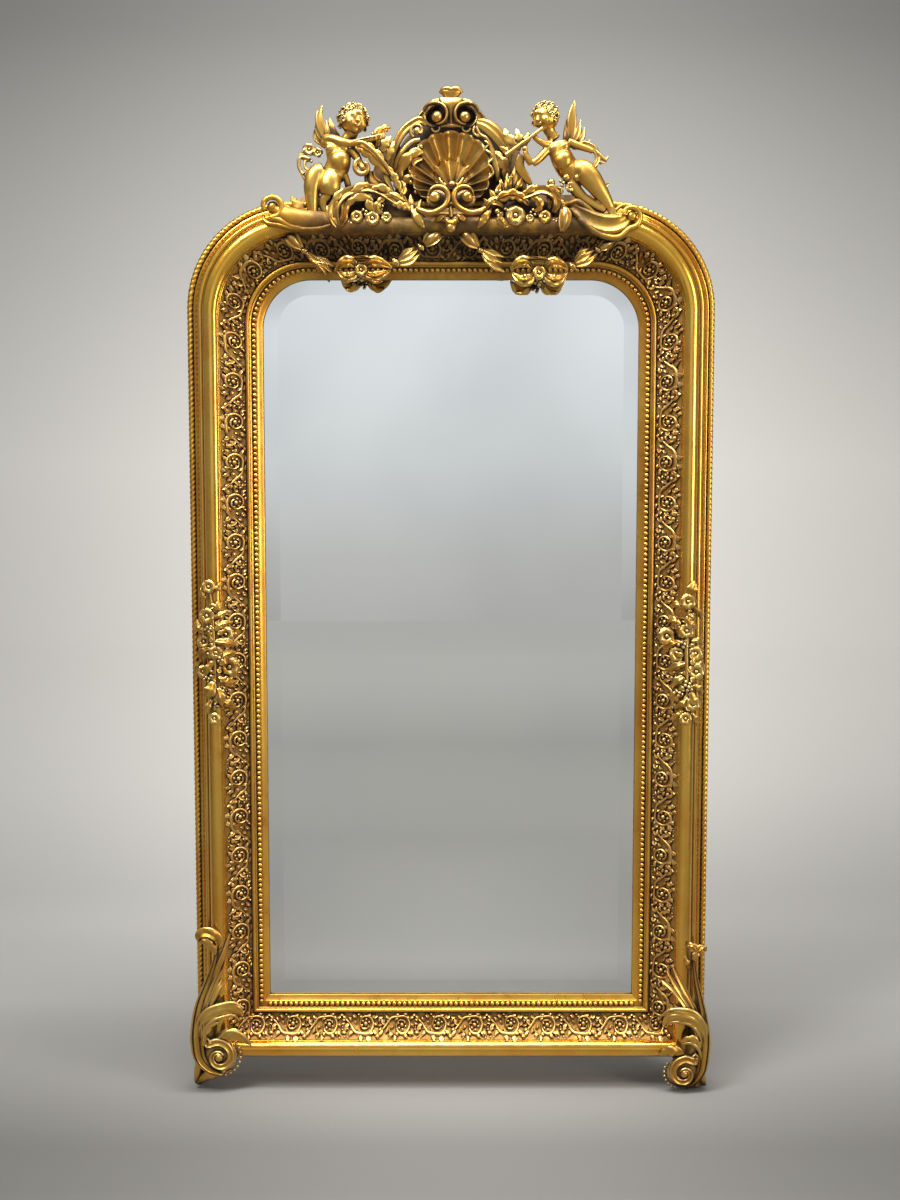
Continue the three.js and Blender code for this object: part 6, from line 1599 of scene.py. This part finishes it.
class Finishes:
    """Makes the procedural materials, with the gold leaf and the grain as shared node groups."""

    def __init__(self) -> None:
        """Builds the shared groups first."""
        self.leaf_group = self.make_leaf_group()
        self.grain_group = self.make_grain_group()

    @staticmethod
    def new_group(name: str, sockets: Sequence[tuple[str, str, str]]) -> tuple[bpy.types.NodeTree, Nodes,
        bpy.types.Node]:
        """Starts a node group with these sockets, each a name, IN or OUT, and a kind."""
        tree = bpy.data.node_groups.new(name, "ShaderNodeTree")
        for label, way, kind in sockets:
            tree.interface.new_socket(label, in_out=way + "PUT", socket_type="NodeSocket" + kind)
        return tree, Nodes(tree), tree.nodes.new("NodeGroupInput")

    def make_leaf_group(self) -> bpy.types.NodeTree:
        """Builds the aged leaf: gold that varies, worn to its red ground in flecks, lightened on convex edges as a
        painted highlight, with soiling and painted shade in its hollows.
        """
        tree, work, given = self.new_group("aged leaf", (
            ("Gold", "IN", "Color"), ("Warm", "IN", "Color"), ("Bole", "IN", "Color"), ("Grime and shade", "IN", "Color"),
            ("Pale", "IN", "Color"), ("Painted edge highlight", "IN", "Float"),
            ("Openness", "IN", "Float"), ("Edge", "IN", "Float"), ("Wear", "IN", "Float"), ("Hollow", "IN", "Float"),
            ("Rough", "IN", "Float"), ("Even grime and shade", "IN", "Float"), ("Color", "OUT", "Color"),
            ("Roughness", "OUT", "Float"),
            ("Metallic", "OUT", "Float"), ("Height", "OUT", "Float")))
        g = given.outputs
        broad, patch, fine = work.noise(7, 3), work.noise(38, 5, 0.6, 0.4), work.noise(420, 4, 0.6)
        tone = work.blend(work.span(broad, 0.38, 0.66), g["Gold"], g["Warm"])
        tone = work.blend(work.math("MULTIPLY", work.span(patch, 0.45, 0.75), 0.5), tone, g["Warm"])
        # painted highlight: convex edges, found by pointiness, are mixed towards the pale colour
        painted_edge_highlight = work.math("MULTIPLY", work.span(g["Edge"], 0.512, 0.59), work.span(patch, 0.28, 0.55, 0.35, 1.0))
        tone = work.blend(work.math("MULTIPLY", painted_edge_highlight, g["Painted edge highlight"]), tone, g["Pale"])
        flecks = work.span(work.math("ADD", work.math("MULTIPLY", patch, 0.5), work.math("MULTIPLY", fine, 0.5)),
            0.60, 0.70)
        worn = work.math("MULTIPLY", g["Wear"], flecks, clamp=True)
        tone = work.blend(worn, tone, g["Bole"])
        # soiling and painted shade: darker where the occlusion closes in, in concave creases, and by an even amount
        # over the whole
        shut = work.math("SUBTRACT", 1.0, g["Openness"])
        grime_and_shade_mask = work.math("MULTIPLY", work.span(work.math("ADD", shut, work.math("MULTIPLY", patch, 0.24)), 0.30,
            0.74),
                         g["Hollow"], clamp=True)
        grime_and_shade_mask = work.math("MAXIMUM", grime_and_shade_mask, work.math("MULTIPLY", g["Even grime and shade"], work.span(patch, 0.25, 0.6, 0.6, 1.0)))
        crease_grime_and_shade = work.span(g["Edge"], 0.49, 0.42)
        grime_and_shade_mask = work.math("MAXIMUM", grime_and_shade_mask, work.math("MULTIPLY", crease_grime_and_shade, work.math("MULTIPLY", g["Hollow"], 0.7)),
            clamp=True)
        tone = work.blend(grime_and_shade_mask, tone, g["Grime and shade"])
        rough = work.math("ADD", g["Rough"], work.math("MULTIPLY", work.math("SUBTRACT", patch, 0.5), 0.35))
        rough = work.math("ADD", rough, work.math("MULTIPLY", grime_and_shade_mask, 0.4), clamp=True)
        dull = work.math("MAXIMUM", work.math("MULTIPLY", grime_and_shade_mask, 0.85), work.math("MULTIPLY", worn, 0.6))
        metal = work.math("SUBTRACT", 1.0, dull)
        height = work.math("ADD", work.math("MULTIPLY", patch, 0.7), work.math("MULTIPLY", fine, 0.3))
        out = work.tree.nodes.new("NodeGroupOutput")
        for name, value in (("Color", tone), ("Roughness", rough), ("Metallic", metal), ("Height", height)):
            tree.links.new(value, out.inputs[name])
        return tree

    def make_grain_group(self) -> bpy.types.NodeTree:
        """Builds the wood: long grain with soft year rings, dust and small dents."""
        tree, work, given = self.new_group("sawn wood", (
            ("Place", "IN", "Vector"), ("Pale", "IN", "Color"), ("Dark", "IN", "Color"), ("Rough", "IN", "Float"),
            ("Color", "OUT", "Color"), ("Roughness", "OUT", "Float"), ("Height", "OUT", "Float")))
        g = given.outputs
        rings = work.add("TexWave", {"Vector": g["Place"], "Scale": 9, "Distortion": 5, "Detail": 3,
            "Detail Scale": 1.4},
                         wave_type="BANDS", bands_direction="X").outputs[1]
        fibre = work.noise(90, 5, 0.65, where=g["Place"])
        dust = work.noise(5, 3)
        share = work.math("ADD", work.math("MULTIPLY", rings, 0.55), work.math("MULTIPLY", fibre, 0.45))
        tone = work.blend(work.span(share, 0.25, 0.8), g["Pale"], g["Dark"])
        tone = work.blend(work.math("MULTIPLY", work.span(dust, 0.3, 0.8), 0.25), tone, rgba((0.16, 0.12, 0.09)))
        rough = work.math("ADD", g["Rough"], work.math("MULTIPLY", fibre, 0.15), clamp=True)
        out = work.tree.nodes.new("NodeGroupOutput")
        for name, value in (("Color", tone), ("Roughness", rough), ("Height", share)):
            tree.links.new(value, out.inputs[name])
        return tree

    @staticmethod
    def start(name: str) -> tuple[Material, Nodes, bpy.types.Node]:
        """Returns a new material, its node tree and its Principled shader."""
        material = bpy.data.materials.new(name)
        material.use_nodes = True
        tree = material.node_tree
        return material, Nodes(tree), tree.nodes["Principled BSDF"]

    def gilding(self, leaf: Leaf) -> Material:
        """Makes one gilded material."""
        material, work, shader = self.start(leaf.name)
        # the occlusion darkens hollows as soiling and painted shade
        shade = work.add("AmbientOcclusion", {"Distance": leaf.reach}, samples=8)
        edge = work.add("NewGeometry").outputs["Pointiness"]
        group = work.add("Group", node_tree=self.leaf_group)
        for key, value in (("Gold", rgba(leaf.gold)), ("Warm", rgba(leaf.warm)), ("Bole", rgba(leaf.bole)),
                           ("Grime and shade", rgba(leaf.grime_and_shade)), ("Pale", rgba(leaf.pale)), ("Wear", leaf.wear),
                           ("Painted edge highlight", leaf.painted_edge_highlight),
                           ("Hollow", leaf.hollow), ("Rough", leaf.rough), ("Even grime and shade", leaf.even_grime_and_shade)):
            group.inputs[key].default_value = value
        link = work.tree.links.new
        link(shade.outputs["AO"], group.inputs["Openness"])
        link(edge, group.inputs["Edge"])
        link(group.outputs["Color"], shader.inputs["Base Color"])
        link(group.outputs["Roughness"], shader.inputs["Roughness"])
        link(group.outputs["Metallic"], shader.inputs["Metallic"])
        shader.inputs["Coat Weight"].default_value = leaf.coat
        shader.inputs["Coat Roughness"].default_value = leaf.rough
        # painted shadow of the crest: the middle of the head, above about 1.5 m, is darkened
        if leaf.painted_crest_shadow:
            split = work.add("SeparateXYZ", {0: work.add("TexCoord").outputs["Object"]})
            middle = work.span(work.math("ABSOLUTE", split.outputs[0]), 0.40, 0.24)
            high = work.math("MULTIPLY", middle, work.span(split.outputs[2], 1.50, 1.60))
            link(work.math("ADD", leaf.even_grime_and_shade, work.math("MULTIPLY", high, leaf.painted_crest_shadow), clamp=True),
                group.inputs["Even grime and shade"])
        bump = work.add("Bump", {"Height": group.outputs["Height"], "Strength": leaf.relief, "Distance": 0.0006})
        link(bump.outputs[0], shader.inputs["Normal"])
        return material

    def timber(self, wood: Timber) -> Material:
        """Makes one wooden material."""
        material, work, shader = self.start(wood.name)
        stretch = {"X": (0.12, 1, 1), "Z": (1, 1, 0.12)}[wood.along]
        turned = {"X": (0, math.pi / 2, 0), "Z": (0, 0, 0)}[wood.along]
        place = work.add("Mapping", {"Vector": work.add("TexCoord").outputs["Object"], "Rotation": turned,
            "Scale": stretch})
        group = work.add("Group", node_tree=self.grain_group)
        link = work.tree.links.new
        link(place.outputs[0], group.inputs["Place"])
        for key, value in (("Pale", rgba(wood.pale)), ("Dark", rgba(wood.dark)), ("Rough", wood.rough)):
            group.inputs[key].default_value = value
        link(group.outputs["Color"], shader.inputs["Base Color"])
        link(group.outputs["Roughness"], shader.inputs["Roughness"])
        bump = work.add("Bump", {"Height": group.outputs["Height"], "Strength": 0.4, "Distance": 0.0008})
        link(bump.outputs[0], shader.inputs["Normal"])
        return material

    def silvering(self) -> Material:
        """Makes the mirror plate's finish: bright, faintly uneven silver behind glass."""
        material, work, shader = self.start("silvered plate")
        haze = work.noise(3, 3)
        tone = work.blend(work.span(haze, 0.35, 0.7), rgba((0.93, 0.95, 0.955)), rgba((0.90, 0.925, 0.935)))
        link = work.tree.links.new
        link(tone, shader.inputs["Base Color"])
        link(work.span(work.noise(60, 4), 0.3, 0.8, 0.012, 0.03), shader.inputs["Roughness"])
        shader.inputs["Metallic"].default_value = 1.0
        return material

    def metal(self, name: str, bright: Colour, dull: Colour, rough: float) -> Material:
        """Makes a plain metal with tarnish."""
        material, work, shader = self.start(name)
        cloud = work.noise(90, 5, 0.6, 0.5)
        link = work.tree.links.new
        link(work.blend(work.span(cloud, 0.35, 0.65), rgba(bright), rgba(dull)), shader.inputs["Base Color"])
        link(work.span(cloud, 0.3, 0.7, rough, rough + 0.25), shader.inputs["Roughness"])
        shader.inputs["Metallic"].default_value = 0.95
        bump = work.add("Bump", {"Height": work.noise(700, 3), "Strength": 0.25, "Distance": 0.0003})
        link(bump.outputs[0], shader.inputs["Normal"])
        return material


# ---------------------------------------------------------------- plate and hangers
class Plate:
    """The bevelled mirror plate, arched like the sight edge."""

    back: float = 19.8
    edge: float = 22.4
    face: float = 24.8
    lap: float = 9.0
    bevel: float = 39.0

    def outline(self, o: float) -> Array:
        """Returns the closed outline at o from the sight edge."""
        centre = np.array([LINES.sight_half, LINES.sight_top]) - LINES.sight_corner
        a = np.radians(np.linspace(0, 90, 25))[:, None]
        right = centre + (LINES.sight_corner + o) * np.concatenate([np.cos(a), np.sin(a)], axis=1)
        foot = np.array([[LINES.sight_half + o, LINES.sight_bottom - o]])
        half = np.concatenate([foot, right])
        return np.concatenate([half, half[::-1] * [-1, 1]])

    def build(self, finish: Material) -> None:
        """Builds the plate with its ground bevel."""
        rings = []
        for o, h in ((self.lap - 0.2, self.back + 0.1), (self.lap - 0.2, self.edge),
            (self.lap - self.bevel, self.face - 0.05)):
            line = self.outline(o)
            rings.append(metres(line[:, 0], line[:, 1], np.full(len(line), h)))
        piece = Bench.weld("bevelled_plate", [Bench.sheet(np.stack(rings))], sharp=1, cap=True)
        Bench.finish(piece, finish, "silvered_glass", "mirror_plate")


# ---------------------------------------------------------------- studio and camera
Tone = tuple[float, float] | tuple[float, float, float]
# painted light and shade on the sweep: the wall is brightest at about 0.7 m and darker above and below; the floor
# darkens from far off to a band just in front of the mirror, then lightens again beneath and behind it
WALL_PAINTED_LIGHT = ((0.0, 0.41), (0.10, 0.55), (0.24, 0.67), (0.42, 0.61), (0.62, 0.40), (0.85, 0.19), (1.0, 0.12))
FLOOR_PAINTED_LIGHT = ((0.0, 0.92), (0.24, 0.88), (0.333, 0.79), (0.408, 0.66), (0.535, 0.40), (0.71, 0.24), (0.814, 0.24),
    (0.838, 0.25), (0.862, 0.19), (0.88, 0.19),
               (0.957, 0.48), (1.0, 0.46))
AHEAD_TONES = ((0.0, 0.38), (0.30, 0.44), (0.38, 0.49), (0.5, 0.64, 0.4), (0.66, 0.75, 0.9), (0.80, 0.78, 1.3),
    (1.0, 0.72, 1.0))
AROUND_TONES = ((0.0, 0.05), (0.36, 0.10), (0.5, 0.27), (0.62, 0.32), (0.8, 0.46), (1.0, 0.56))


class Studio:
    """The pale sweep behind the mirror, its lamps and the world."""

    @staticmethod
    def sweep() -> None:
        """Lays a floor that rises into a wall in one curve, with light and shade painted on it as graded tone."""
        profile = [(-9.0, 0.0), (0.9, 0.0)]
        profile += [(0.9 + 0.7 * math.sin(a), 0.7 - 0.7 * math.cos(a)) for a in np.linspace(0.1, math.pi / 2, 14)]
        profile += [(1.6, 6.0)]
        bpy.ops.object.select_all(action="DESELECT")
        bpy.ops.mesh.primitive_grid_add(x_subdivisions=1, y_subdivisions=len(profile) - 1, size=2)
        piece = bpy.context.active_object
        piece.name = "sweep"
        for vertex in piece.data.vertices:
            y, z = profile[round((vertex.co.y + 1) / 2 * (len(profile) - 1))]
            vertex.co = (vertex.co.x * 8, y, z - 0.0004)
        bpy.ops.object.shade_smooth()
        material, work, shader = Finishes.start("sweep paper")
        split = work.add("SeparateXYZ", {0: work.add("TexCoord").outputs["Object"]})
        up = work.add("MapRange", {0: split.outputs[2], 1: 0.0, 2: 3.0, 3: 0.0, 4: 1.0}).outputs[0]
        wall = work.add("ValToRGB", {0: up})
        Studio.ramp(wall, WALL_PAINTED_LIGHT)
        far = work.add("MapRange", {0: split.outputs[1], 1: -9.0, 2: 0.9, 3: 0.0, 4: 1.0}).outputs[0]
        floor = work.add("ValToRGB", {0: far})
        Studio.ramp(floor, FLOOR_PAINTED_LIGHT)
        tone = work.blend(work.span(split.outputs[2], 0.0, 0.08), floor.outputs[0], wall.outputs[0])
        # painted shade: the floor in front of the mirror and the wall behind it darken towards the sides
        out = work.math("ABSOLUTE", split.outputs[0])
        painted_side_shade_near = work.math("MULTIPLY", work.span(split.outputs[1], -2.2, -1.0), work.span(out, 0.0, 1.0, 0.0, 0.28))
        painted_side_shade = work.blend(work.span(split.outputs[1], 0.2, 1.2), work.math("SUBTRACT", 1.0, painted_side_shade_near),
            work.span(out, 0.2, 1.6, 1.0, 0.74))
        tone = work.blend(1.0, tone, painted_side_shade, "MULTIPLY")
        work.tree.links.new(tone, shader.inputs["Base Color"])
        shader.inputs["Roughness"].default_value = 0.95
        shader.inputs["Specular IOR Level"].default_value = 0.0
        behind = work.math("MULTIPLY", work.add("NewGeometry").outputs["Backfacing"],
            work.add("LightPath").outputs["Is Camera Ray"])
        seen = work.add("MixShader", {0: behind, 1: shader.outputs[0], 2: work.add("BsdfTransparent").outputs[0]})
        work.tree.links.new(seen.outputs[0], work.tree.nodes["Material Output"].inputs["Surface"])
        piece.data.materials.append(material)

    @staticmethod
    def ramp(node: bpy.types.Node, stops: Sequence[Tone]) -> None:
        """Sets a ramp of greys with a faint warm cast, and a cool one where a stop has a third number."""
        points = node.color_ramp.elements
        while len(points) > 1:
            points.remove(points[-1])
        for i, (place, value, *cool) in enumerate(stops):
            point = points[0] if i == 0 else points.new(place)
            point.position = place
            blue = 0.03 * cool[0] if cool else -0.02
            point.color = (value * (1 - blue - 0.01), value, value * (1 + blue - 0.01), 1)

    @staticmethod
    def lamp(name: str, place: Colour, target: Colour, size: tuple[float, float], power: float,
        colour: Colour) -> None:
        """Hangs a rectangular lamp that looks at a target."""
        bpy.ops.object.light_add(type="AREA", location=place)
        lamp = bpy.context.active_object
        lamp.name = name
        lamp.data.shape = "RECTANGLE"
        lamp.data.size, lamp.data.size_y = size
        lamp.data.energy = power
        lamp.data.color = colour
        lamp.rotation_euler = (Vector(target) - Vector(place)).to_track_quat("-Z", "Y").to_euler()

    @staticmethod
    def world() -> None:
        """Paints the room by direction: the pale end of the room that the plate shows, and dimmer walls round it."""
        world = bpy.data.worlds.new("room")
        world.use_nodes = True
        bpy.context.scene.world = world
        work = Nodes(world.node_tree)
        ground = world.node_tree.nodes["Background"]
        way = work.add("TexCoord").outputs["Generated"]
        split = work.add("SeparateXYZ", {0: way})
        ahead = work.add("ValToRGB", {0: work.add("MapRange", {0: split.outputs[2], 1: -0.25, 2: 0.25}).outputs[0]})
        Studio.ramp(ahead, AHEAD_TONES)
        around = work.add("ValToRGB", {0: work.add("MapRange", {0: split.outputs[2], 1: -1.0, 2: 1.0}).outputs[0]})
        Studio.ramp(around, AROUND_TONES)
        tone = work.blend(work.span(split.outputs[1], -0.945, -0.972), around.outputs[0], ahead.outputs[0])
        cloud = work.noise(7, 2, 0.4, where=way)
        tone = work.blend(1.0, tone, work.span(cloud, 0.3, 0.7, 0.93, 1.07), "MULTIPLY")
        world.node_tree.links.new(tone, ground.inputs["Color"])
        ground.inputs["Strength"].default_value = 1.0

    @staticmethod
    def camera() -> None:
        """Sets the camera where the photograph's view was solved to be."""
        bpy.ops.object.camera_add(location=(0, WALL * MM - CAMERA_BACK, CAMERA_HEIGHT))
        camera = bpy.context.active_object
        camera.rotation_euler = (math.radians(90 - CAMERA_DIP), 0, 0)
        camera.data.lens = 45
        camera.data.sensor_width = 36
        camera.data.sensor_fit = "AUTO"
        camera.data.shift_x = -1 / 1200
        bpy.context.scene.camera = camera

    def build(self) -> None:
        """Builds the whole studio."""
        self.sweep()
        self.world()
        self.lamp("key", (-1.7, -1.9, 4.0), (0, 0, 1.0), (1.2, 0.9), 92, (1.0, 0.98, 0.94))
        self.lamp("fill", (2.5, -1.9, 1.6), (0, 0, 0.9), (0.7, 2.0), 34, (1.0, 0.95, 0.87))
        self.lamp("top", (0.2, -0.7, 3.7), (0, 0, 1.4), (2.2, 0.7), 115, (1.0, 0.99, 0.97))
        self.camera()


# ---------------------------------------------------------------- the whole
def main() -> None:
    """Builds the mirror, dresses it and sets the studio."""
    logging.basicConfig(level=logging.INFO, format="%(message)s")
    finishes = Finishes()
    leaf = finishes.gilding(Leaf("run leaf", gold=(0.90, 0.50, 0.07), coat=0.03, painted_crest_shadow=0.45))
    carved = finishes.gilding(Leaf("carved leaf", gold=(0.80, 0.49, 0.11), warm=(0.62, 0.31, 0.05), rough=0.33,
        hollow=1.35,
                                   reach=0.045, painted_edge_highlight=0.5, coat=0.06, relief=0.6))
    burnished = finishes.gilding(Leaf("burnished leaf", gold=(0.90, 0.53, 0.08), warm=(0.84, 0.38, 0.035), rough=0.22,
                                      wear=0.3, relief=0.15, hollow=0.7, coat=0.0, painted_crest_shadow=0.9))
    toned = finishes.gilding(Leaf("toned leaf", gold=(0.78, 0.42, 0.08), warm=(0.62, 0.27, 0.04), hollow=1.1,
        rough=0.38,
                                  reach=0.012, painted_edge_highlight=0.35, coat=0.05, painted_crest_shadow=0.8))
    # the frieze's hollow ground: darker leaf, with soiling and painted shade
    ground = finishes.gilding(Leaf("hollow ground", gold=(0.61, 0.32, 0.06), warm=(0.47, 0.21, 0.03), hollow=1.1,
        rough=0.44,
                                   reach=0.012, even_grime_and_shade=0.35, coat=0.03, painted_crest_shadow=0.8))
    # the crest's ground: dark leaf that stands in for the shade between the carving, with some soiling
    dark = finishes.gilding(Leaf("crest soiling and painted shade", gold=(0.42, 0.23, 0.05), warm=(0.30, 0.14, 0.03), hollow=1.3,
        rough=0.5,
                                 reach=0.05, even_grime_and_shade=0.72, coat=0.1))
    bare = finishes.timber(Timber("carcass softwood", (0.50, 0.33, 0.17), (0.30, 0.18, 0.085)))
    laid = finishes.timber(Timber("backboard softwood", (0.42, 0.29, 0.17), (0.25, 0.16, 0.09), along="X"))
    brass = finishes.metal("tarnished brass", (0.72, 0.50, 0.20), (0.33, 0.22, 0.09), 0.3)
    iron = finishes.metal("dull iron", (0.42, 0.41, 0.40), (0.16, 0.14, 0.13), 0.4)
    Mouldings().build(leaf, burnished, toned, ground)
    Plate().build(finishes.silvering())
    Carving(carved, burnished, dark, brass, iron).build()
    kept = {"carcass_": bare, "crest_board": bare, "retaining_": bare, "backboard_": laid}
    for piece in bpy.data.objects:
        if piece.type != "MESH":
            continue
        for start, material in kept.items():
            if piece.name.startswith(start):
                piece.data.materials.clear()
                piece.data.materials.append(material)
    Studio().build()
    bpy.context.scene.view_settings.view_transform = "Standard"


if __name__ == "__main__":
    main()
